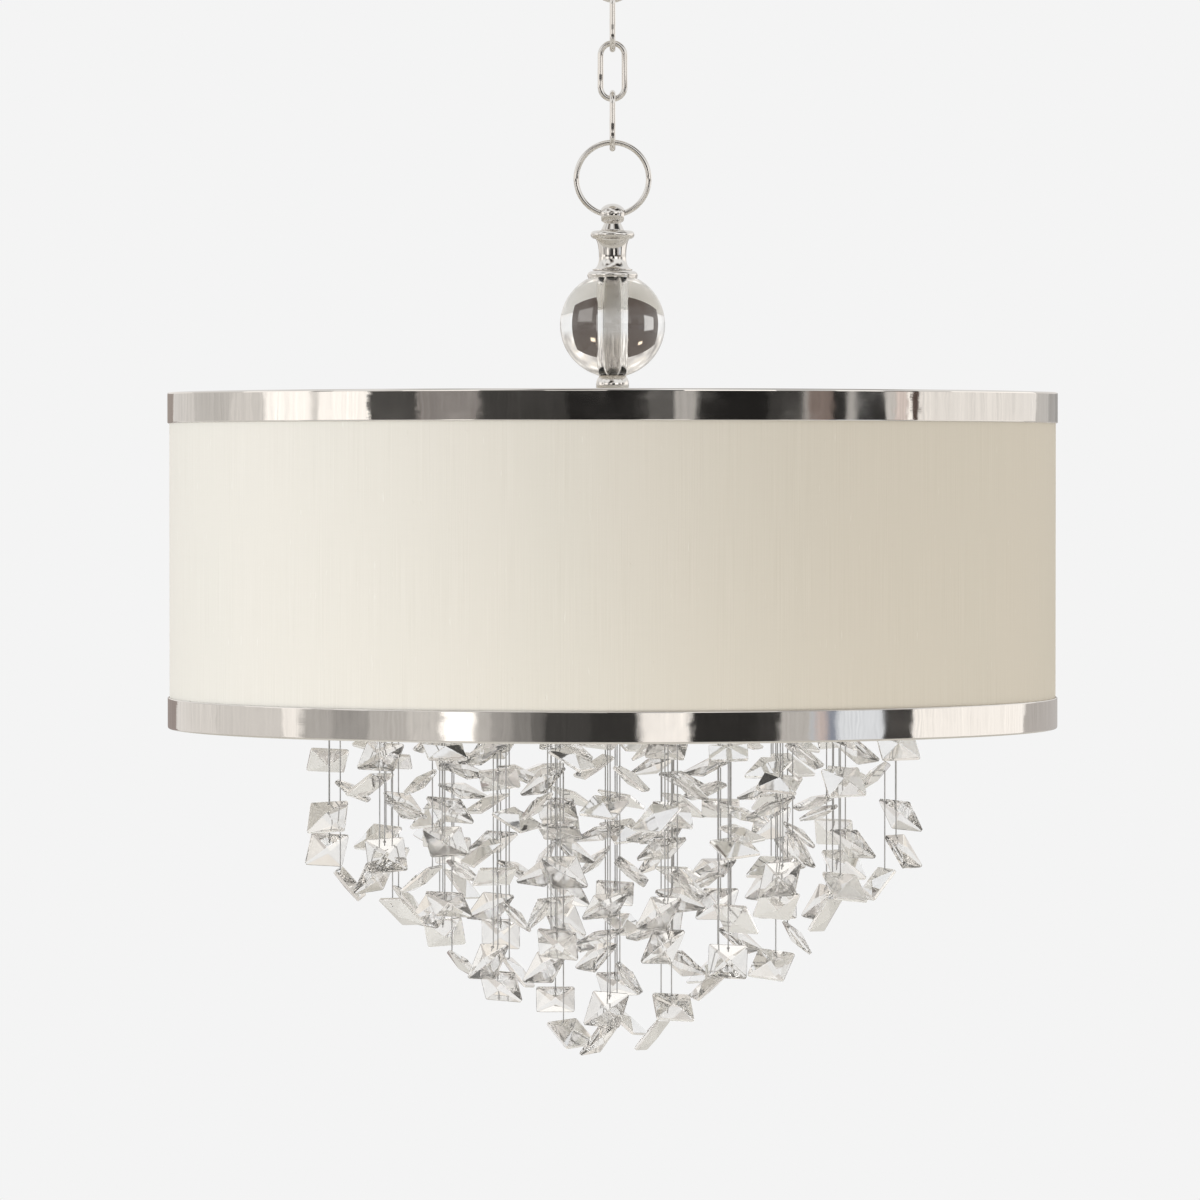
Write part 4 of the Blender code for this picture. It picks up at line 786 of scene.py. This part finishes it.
def make_knob():
    """A round knob whose cross hole lets the ring through, with its stud below."""
    waist, radius, neck_r, neck, foot, edge = 0.0007, 0.0075, 0.0046, 0.0044, -0.0084, 0.0003
    stud, stud_foot = 0.003, foot - edge - 0.0068
    crown = arc(0, waist, radius, 0.0065 - waist, 90, 0, 24)
    under = arc(neck_r, waist, radius - neck_r, neck + waist, 0, -90, 14)
    profile = [*crown, *under[1:], (0.0065, foot), (0.0065, foot - edge), (stud, foot - edge),
               (stud, stud_foot), (0, stud_foot)]
    profile = [(r, z + EYE_Z) for r, z in rounded(profile, 0.0003, False)]
    profile[0], profile[-1] = (0, profile[0][1]), (0, profile[-1][1])
    knob = piece("eye_knob", [lathe(profile, 72, closed=False)])
    rise = RING_RADIUS - sqrt(RING_RADIUS**2 - radius**2)
    carve(knob, [sweep([(-0.012, 0, EYE_Z), (0.012, 0, EYE_Z)], RING_WIRE + rise + FIT_GAP, 48)])


def make_vase():
    """The finial: a disc over a waisted skirt, hollow for stud and pipe, with the wire's inlet behind."""
    disc_r, disc_t, waist_r, foot_r, edge = 0.0125, 0.0046, 0.00775, 0.01135, 0.0008
    waist, half, core = VASE_FOOT + 0.0077, disc_t / 2, disc_r - disc_t / 2
    disc_foot, foot_top = VASE_TOP - disc_t, VASE_FOOT + edge
    rim = arc(core, VASE_TOP - half, half, half, 90, -90, 20)
    throat = arc(core, waist, core - waist_r, disc_foot - waist, 90, 180, 18)
    skirt = arc(foot_r, waist, foot_r - waist_r, waist - foot_top, 180, 270, 18)
    stud, stud_floor = 0.0033, VASE_TOP - 0.0068
    socket_top = VASE_FOOT + 0.0137
    profile = [(0, stud_floor), (stud, stud_floor), (stud, VASE_TOP), *rim, *throat[1:], *skirt[1:]]
    profile += [(foot_r, VASE_FOOT), (PIPE_HOLE, VASE_FOOT), (PIPE_HOLE, socket_top), (0, socket_top)]
    vase = piece("finial_vase", [lathe(rounded(profile, 0.0003, False), 96, closed=False)])
    inlet = VASE_FOOT + 0.006
    carve(vase, [sweep([(0, 0.0055, inlet), (0, 0.016, inlet)], 0.0019, 24)])


def on_ball(start_r, end_r, way, steps):
    """Points along the seat on the ball, which is above its middle for way 1 and below it for -1."""
    seat = BALL_RADIUS + FIT_GAP
    return [(r, BALL_Z + way * sqrt(seat**2 - r**2)) for r in evenly(start_r, end_r, steps)]


def make_ball():
    """The cup, the drilled glass ball, the spacer under it and the pipe through all three."""
    top, roll = heights("ball_cup")[1], 0.0023
    rim = arc(0.01435 - roll, top - roll, roll, roll, 90, -24, 18)
    cup = lathe([*rim, *on_ball(rim[-1][0], PIPE_HOLE, 1, 12), (PIPE_HOLE, top)], 96)
    piece("ball_cup", [cup])

    reach = degrees(acos(BALL_BORE / BALL_RADIUS))
    sphere = arc(0, BALL_Z, BALL_RADIUS, BALL_RADIUS, reach, -reach, 72)
    ball = lathe(rounded(sphere, 0.0005), 128)
    piece("glass_ball", [ball], BALL_GLASS)

    foot, seat = heights("ball_spacer")[0], on_ball(PIPE_HOLE, 0.0086, -1, 8)
    high = seat[-1][1]
    cheek = arc(0.0066, (high + foot) / 2, 0.00275, (high - foot) / 2, 75, -75, 24)
    bead = lathe(rounded([*seat, *cheek, (0.0072, foot), (PIPE_HOLE, foot)], 0.0004), 96)
    piece("ball_spacer", [bead])

    pipe = lathe(rounded(tube(PIPE_RADIUS, PIPE_BORE, *heights("stem_pipe")), 0.0003), 64)
    piece("stem_pipe", [pipe], SHADED_PIPE_NICKEL)


# Shade


def make_bands():
    """Both bands, with softly rolled edges and a lip folded over the shade's edge."""
    outer, inner = SHADE_RADIUS, SHADE_RADIUS - BAND_THICKNESS
    roll, rise = 0.0006, 0.0013
    for name, edge, way in (("shade_top_band", SHADE_TOP, -1), ("shade_bottom_band", SHADE_RIM, 1)):
        far, thick = edge + way * BAND_HEIGHT, way * BAND_THICKNESS
        folded = arc(outer - roll, edge + way * rise, roll, way * rise, -90, 0, 10)
        cut = arc(outer - roll, far - way * rise / 2, roll, way * rise / 2, 0, 90, 8)
        profile = [*folded, (outer, edge + way * rise * 1.1), (outer, far - way * rise * 0.6), *cut,
                   (inner, far), (inner, edge + thick), (LINER_BORE, edge + thick), (LINER_BORE, edge)]
        piece(name, [lathe(profile, 360)], BAND_NICKEL)


def make_fabric():
    """The silk, one sheet round the drum, with its glued overlap down the back."""
    foot, top = heights("shade_fabric")
    profile = [(FABRIC_RADIUS, z) for z in evenly(top, foot, 24)]
    profile += [(r - FABRIC_THICKNESS, z) for r, z in reversed(profile)]
    half_width, slope, height = 0.007, 0.0006, 0.00028

    def overlap(r, z, angle):
        from_back = abs(angle - pi / 2) * FABRIC_RADIUS
        return r + height * min(1, max(0, (half_width - from_back) / slope))

    form = lathe(profile, 720, shape=overlap)
    fabric = piece("shade_fabric", [form], SILK, name="shade_silk", sharp_deg=60)


def make_liner():
    liner = lathe(tube(LINER_RADIUS, LINER_BORE, *heights("shade_liner")), 360)
    piece("shade_liner", [liner], LINER, name="shade_lining")


def make_shade_frame():
    """Two wire rings, and the hub with three welded spokes."""
    wire_circle = LINER_BORE - FIT_GAP - SHADE_WIRE
    for name in ("shade_top_ring", "shade_bottom_ring"):
        ring = sweep(circle(wire_circle, 288, (0, 0, sum(heights(name)) / 2)), SHADE_WIRE, 14, True)
        piece(name, [ring], WHITE_METAL)
    forms = [lathe(rounded(tube(HUB_RADIUS, PIPE_HOLE, HUB_FOOT, HUB_TOP), 0.0006), 72)]
    weld = [(0, 0.0034), (0.0016, 0.0028), (0.0022, 0.0017), (0.0018, -0.0002), (0, -0.0004)]
    for angle in (radians(90 + 120 * i) for i in range(3)):
        ends = [polar(r, angle, SPOKE_Z) for r in (0.0115, wire_circle - SHADE_WIRE - FIT_GAP)]
        forms.append(sweep(ends, SHADE_WIRE - FIT_GAP, 20))
        turn = Matrix.Translation(polar(HUB_RADIUS, angle, SPOKE_Z)) @ Matrix.Rotation(angle, 4, "Z")
        turn = turn @ Matrix.Rotation(pi / 2, 4, "Y")
        forms.append(moved(lathe(weld, 20, closed=False), turn))
    piece("shade_spider", forms, WHITE_METAL)


# Lamps


def lamp_angle(i):
    return radians(30 + 120 * i)


def make_lamps():
    """A cluster body with three arms and cups, then sockets and bulbs."""
    half, bend, arm, cup_radius, cup_height = 0.009, 0.014, 0.004, 0.0125, 0.003
    hub = tube(0.020, PIPE_HOLE, CLUSTER_Z - half, CLUSTER_Z + half)
    forms = [lathe(rounded(hub, 0.0034, steps=8), 96)]
    for i in range(3):
        angle = lamp_angle(i)
        elbow = arc(LAMP_CIRCLE_RADIUS - bend, CLUSTER_Z + bend, bend, bend, -90, 0)
        path = [polar(r, angle, z) for r, z in [(0.012, CLUSTER_Z), *elbow]]
        path.append(path[-1] + Vector((0, 0, 0.006)))
        forms.append(sweep(path, arm, 24))
        top = heights(f"socket_{i + 1}")[0] - FIT_GAP
        cup = [(0, top), (cup_radius, top), (cup_radius, top - cup_height), (0, top - cup_height)]
        forms.append(lathe(rounded(cup, 0.0008, False), 64, polar(LAMP_CIRCLE_RADIUS, angle), False))
    piece("lamp_cluster", forms, WHITE_METAL)
    for i in range(3):
        make_socket(i)
        make_bulb(i)


def make_socket(i):
    """A moulded socket with two shallow grooves round it."""
    name = f"socket_{i + 1}"
    centre = polar(LAMP_CIRCLE_RADIUS, lamp_angle(i), heights(name)[0])
    radius, bore, floor, height, chamfer, depth = 0.011, 0.0063, 0.008, 0.030, 0.001, 0.0006
    side = [(radius - chamfer, height), (radius, height - chamfer)]
    for groove in (0.024, 0.007):
        side += [(radius, groove + 0.0008), (radius - depth, groove + 0.0003),
                 (radius - depth, groove - 0.0003), (radius, groove - 0.0008)]
    profile = [(0, floor), (bore, floor), (bore, height), *side, (radius, 0), (0, 0)]
    form = lathe(rounded(profile, 0.0003, False), 72, centre, False)
    piece(name, [form], SOCKET)


def make_bulb(i):
    """A torpedo bulb of frosted glass on a screw base."""
    name = f"bulb_{i + 1}"
    lamp, centre = f"lamp_{i + 1}", polar(LAMP_CIRCLE_RADIUS, lamp_angle(i), heights(name)[0])
    base_r, base, radius, length, belly, tip = 0.006, 0.0235, 0.0175, 0.070, 0.026, 0.0012
    glass = [(0, base + length)]
    for k in range(1, 33):
        share = k / 32
        r = tip * min(1, share * 8) + (radius - tip) * sin(share * pi / 2)
        glass.append((r, base + length + (belly - length) * share))
    for k in range(1, 25):
        swell = (1 + cos(pi * k / 24)) / 2
        glass.append((base_r + (radius - base_r) * swell, base + belly * (1 - k / 24)))
    glass += [(base_r - 0.0004, base - 0.0006), (0, base - 0.0006)]
    bulb = lathe(glass, 96, centre, False)
    piece(name, [bulb], BULB_GLASS, body=lamp, name=name + "_glass", sharp_deg=60)
    side = [(base_r, z) for z in evenly(base, 0.003, 150)]
    profile = [(0, base), *side, (0.0035, 0.0012), (0.0035, 0.0), (0, 0.0)]

    def thread(r, z, angle):
        if r < base_r - 0.0001 or z > base - 0.002 or z < 0.004:
            return r
        return r - thread_cut(z, angle, 0.0026, 0.00035)

    screw = lathe(profile, 48, centre, False, thread)
    piece(name, [screw], BRASS, body=lamp, name=name + "_base", sharp_deg=50)


# Crystal rack and strands


def make_rack():
    """A welded wire grid: bars for the hooks, two ties over them, the outline under them and a hub."""
    end = RACK_RADIUS - WELD_STEP
    forms = [sweep(circle(RACK_RADIUS, 240, (0, 0, RACK_Z - WELD_STEP)), RACK_WIRE, 14, True)]
    for bar in range(-BARS_EACH_SIDE, BARS_EACH_SIDE + 1):
        x = bar * BAR_PITCH
        reach = sqrt(end**2 - x**2)
        forms.append(sweep([(x, -reach, RACK_Z), (x, reach, RACK_Z)], BAR_RADIUS, 14))
    for y in (-ROW_PITCH / 2, ROW_PITCH / 2):
        reach, z = sqrt(end**2 - y**2), RACK_Z + WELD_STEP
        forms.append(sweep([(-reach, y, z), (reach, y, z)], TIE_RADIUS, 14))
    forms.append(lathe(rounded(tube(0.012, PIPE_HOLE, RACK_Z - 0.003, RACK_Z + 0.003), 0.0007), 72))
    piece("crystal_rack", forms, WHITE_METAL)


def strand_places():
    """Every second crossing of bars and rows inside the strands' circle."""
    places = []
    for bar in range(-BARS_EACH_SIDE, BARS_EACH_SIDE + 1):
        for row in range(-ROWS_EACH_SIDE, ROWS_EACH_SIDE + 1):
            x, y = bar * BAR_PITCH, row * ROW_PITCH
            if (bar + row) % 2 and hypot(x, y) <= STRAND_CIRCLE_RADIUS:
                places.append((x, y))
    return places


def cell_radius():
    """The circle round a strand that stays free of its neighbours while all of them sway."""
    narrowed = BAR_PITCH * cos(radians(SWAY_LIMIT_DEG))
    return min(narrowed, hypot(narrowed, ROW_PITCH) / 2) - CRYSTAL_GAP


def bowl_depth(radius):
    """How far the lowest crystal of a strand hangs under the shade's rim."""
    share = (radius - BOWL_FLAT_RADIUS) / (STRAND_CIRCLE_RADIUS - BOWL_FLAT_RADIUS)
    share = min(1, max(0, share))
    return BOWL_DEPTH - (BOWL_DEPTH - BOWL_EDGE_DEPTH) * share**BOWL_POWER


def square_bar(corner_radius, length, matrix):
    """A plain four-sided bar about the matrix's Z."""
    bm = bmesh.new()
    bmesh.ops.create_cone(bm, cap_ends=True, segments=4, radius1=corner_radius, radius2=corner_radius,
                          depth=length, matrix=matrix)
    return bm


def plain_crystal(matrix, grow=0):
    """The CAD crystal as a search tree, for the layout alone."""
    side, girdle = CRYSTAL_SIDE + 2 * grow, CRYSTAL_GIRDLE + 2 * grow
    local = Matrix.Translation((CRYSTAL_SIDE / 2 - CRYSTAL_HOLE_INSET, 0, 0))
    bm = square_bar(side / sqrt(2), girdle, matrix @ local @ Matrix.Rotation(pi / 4, 4, "Z"))
    upright = matrix.to_3x3() @ Vector((0, 0, 1))
    caps = [f for f in bm.faces if abs(f.normal.dot(upright)) > cos(pi / 4)]
    bmesh.ops.poke(bm, faces=caps, offset=(CRYSTAL_THICKNESS - CRYSTAL_GIRDLE) / 2)
    return tree_of(bm)


def plain_line(place, foot):
    return tree_of(square_bar(LINE_RADIUS + CRYSTAL_GAP, -foot, Matrix.Translation((*place, foot / 2))))


def tree_of(bm):
    tree = BVHTree.FromBMesh(bm)
    bm.free()
    return tree


def plan_strand(rng, x, y):
    """part.py's layout: a strand's lines as (place, foot) and its crystals as matrices."""
    radius, inward = hypot(x, y), atan2(-y, -x)
    turn = radians(rng.uniform(-FREE_TURN_DEG, FREE_TURN_DEG))
    phase = inward if radius > FREE_RADIUS else inward + turn
    angles = [phase + tau * i / LINES_PER_STRAND for i in range(LINES_PER_STRAND)]
    places = [polar(LINE_CIRCLE_RADIUS, angle).to_2d() for angle in angles]
    rim = SHADE_RIM - RACK_Z
    first = FIRST_CRYSTAL_DEPTH + rng.uniform(0, FIRST_CRYSTAL_SPREAD)
    last = bowl_depth(radius)
    count = round((last - first) / CRYSTAL_PITCH) + 1
    levels, owners = [], []
    for i in range(count):
        slack = 0 if i == count - 1 else rng.uniform(-CRYSTAL_PITCH_JITTER, CRYSTAL_PITCH_JITTER)
        levels.append(rim - first - (last - first) * i / max(1, count - 1) + slack)
        owners.append((count - 1 - i) % LINES_PER_STRAND)
    feet = [min(z for z, o in zip(levels, owners) if o == line) for line in range(LINES_PER_STRAND)]
    trees = [plain_line(place, foot - LINE_TAIL) for place, foot in zip(places, feet)]
    crystals, taken = [], []
    for height, owner in zip(levels, owners):
        droops = LAST_DROOP_RANGE_DEG if height == feet[owner] else DROOP_RANGE_DEG
        others = [tree for line, tree in enumerate(trees) if line != owner]
        for _ in range(LAYOUT_TRIES):
            matrix = drawn_crystal(rng, (*places[owner], height), angles[owner], droops)
            if fits(matrix, x, y, others + taken):
                crystals.append(matrix)
                taken.append(plain_crystal(matrix))
                break
    return list(zip(places, feet)), crystals


def drawn_crystal(rng, place, angle, droops):
    """A crystal's place with a lean, a droop and a roll, drawn in this order."""
    azimuth = angle + radians(rng.uniform(-LEAN_LIMIT_DEG, LEAN_LIMIT_DEG))
    droop = radians(rng.uniform(*droops))
    roll = radians(rng.uniform(-ROLL_LIMIT_DEG, ROLL_LIMIT_DEG))
    matrix = Matrix.Translation(place) @ Matrix.Rotation(azimuth, 4, "Z")
    return matrix @ Matrix.Rotation(droop, 4, "Y") @ Matrix.Rotation(roll, 4, "X")


def fits(matrix, x, y, taken):
    """Whether a crystal stays in its strand's cell and in the bowl's circle, and touches nothing."""
    reach = CRYSTAL_SIDE - CRYSTAL_HOLE_INSET
    ends = [matrix @ Vector((reach, side * CRYSTAL_SIDE / 2, 0)) for side in (-1, 1)]
    if max(end.to_2d().length for end in ends) > cell_radius():
        return False
    if max(hypot(x + end.x, y + end.y) for end in ends) > CRYSTAL_REACH_RADIUS:
        return False
    grown = plain_crystal(matrix, CRYSTAL_GAP)
    return not any(grown.overlap(tree) for tree in taken)


def crystal_form():
    """One cut crystal: rounded corners, a low pyramid on each face, soft edges and a drilled hole."""
    half, girdle, apex = CRYSTAL_SIDE / 2, CRYSTAL_GIRDLE / 2, CRYSTAL_THICKNESS / 2
    bm = bmesh.new()
    low = [bm.verts.new((x * half, y * half, -girdle)) for x, y in ((-1, -1), (1, -1), (1, 1), (-1, 1))]
    high = [bm.verts.new((v.co.x, v.co.y, girdle)) for v in low]
    tips = [bm.verts.new((0, 0, -apex)), bm.verts.new((0, 0, apex))]
    for i in range(4):
        k = (i + 1) % 4
        bm.faces.new([low[i], low[k], high[k], high[i]])
        bm.faces.new([low[k], low[i], tips[0]])
        bm.faces.new([high[i], high[k], tips[1]])
    uprights = [e for e in bm.edges
                if abs(e.verts[0].co.z - e.verts[1].co.z) > girdle and e.calc_length() < 3 * girdle]
    bmesh.ops.bevel(bm, geom=uprights, offset=0.0013, segments=3, profile=0.5, affect="EDGES")
    bmesh.ops.bevel(bm, geom=bm.edges[:], offset=0.00022, segments=1, profile=0.5, affect="EDGES")
    bmesh.ops.translate(bm, verts=bm.verts, vec=(half - CRYSTAL_HOLE_INSET, 0, 0))
    bmesh.ops.recalc_face_normals(bm, faces=bm.faces)
    solid = new_object("crystal", bpy.data.meshes.new("crystal"))
    bm.to_mesh(solid.data)
    bm.free()
    carve(solid, [sweep([(0, 0, -0.004), (0, 0, 0.004)], 0.0007, 14)])
    mesh = solid.data
    bpy.data.objects.remove(solid)
    return [v.co.copy() for v in mesh.vertices], [list(face.vertices) for face in mesh.polygons]


def bead_form(radius):
    """A small knot."""
    belt = [(radius * cos(a), radius * sin(a)) for a in (0.8, 0.3, -0.3, -0.8)]
    return lathe([(0, radius), *belt, (0, -radius)], 10, closed=False)


def make_strand(number, x, y, lines, crystals, crystal, knot):
    """A strand's glass, its lines with a knot at each crystal, and its hook and hanger."""
    body, node = f"strand_{number:02d}", f"crystal_strand_{number:02d}"
    home = Matrix.Translation((x, y, RACK_Z))
    glass = [moved(crystal, home @ matrix) for matrix in crystals]
    piece(node, glass, CRYSTAL_GLASS, body=body, name=node + "_glass", sharp_deg=1)
    hook_circle = (BAR_RADIUS + FIT_GAP + HOOK_WIRE) / cos(pi / 8)
    hanger_top = HOOK_WIRE / 2 - hook_circle - HOOK_WIRE
    start = hanger_top - HANGER_THICKNESS / 2
    paths = [[(*place, start), (*place, foot - LINE_TAIL)] for place, foot in lines]
    strings = [moved(sweep(path, LINE_RADIUS, 8), home) for path in paths]
    strings += [moved(knot, home @ Matrix.Translation(matrix.translation)) for matrix in crystals]
    piece(node, strings, THREAD, body=body, name=node + "_lines", sharp_deg=60)
    hook = sweep(circle(hook_circle, 28, (x, y, RACK_Z), upright=True), HOOK_WIRE, 10, True)
    top = RACK_Z + hanger_top
    foot = top - HANGER_THICKNESS
    plate = rounded([(0, top), (HANGER_RADIUS, top), (HANGER_RADIUS, foot), (0, foot)], 0.0004, False)
    hanger = lathe(plate, 40, (x, y, 0), False)
    piece(node, [hook, hanger], body=body, name=node + "_hook")


def make_strands():
    rng = random.Random(LAYOUT_SEED)
    crystal, knot = crystal_form(), bead_form(0.0009)
    for i, (x, y) in enumerate(strand_places()):
        lines, crystals = plan_strand(rng, x, y)
        make_strand(i + 1, x, y, lines, crystals, crystal, knot)


for make in (
    make_camera, make_lights, make_world, make_floor, make_ball_card, make_canopy, make_collar,
    make_loop, make_hardware, make_chain, make_knob, make_vase, make_ball, make_bands, make_liner,
    make_fabric, make_shade_frame, make_lamps, make_rack, make_strands,
):
    make()
bpy.context.scene.view_settings.view_transform = "Standard"
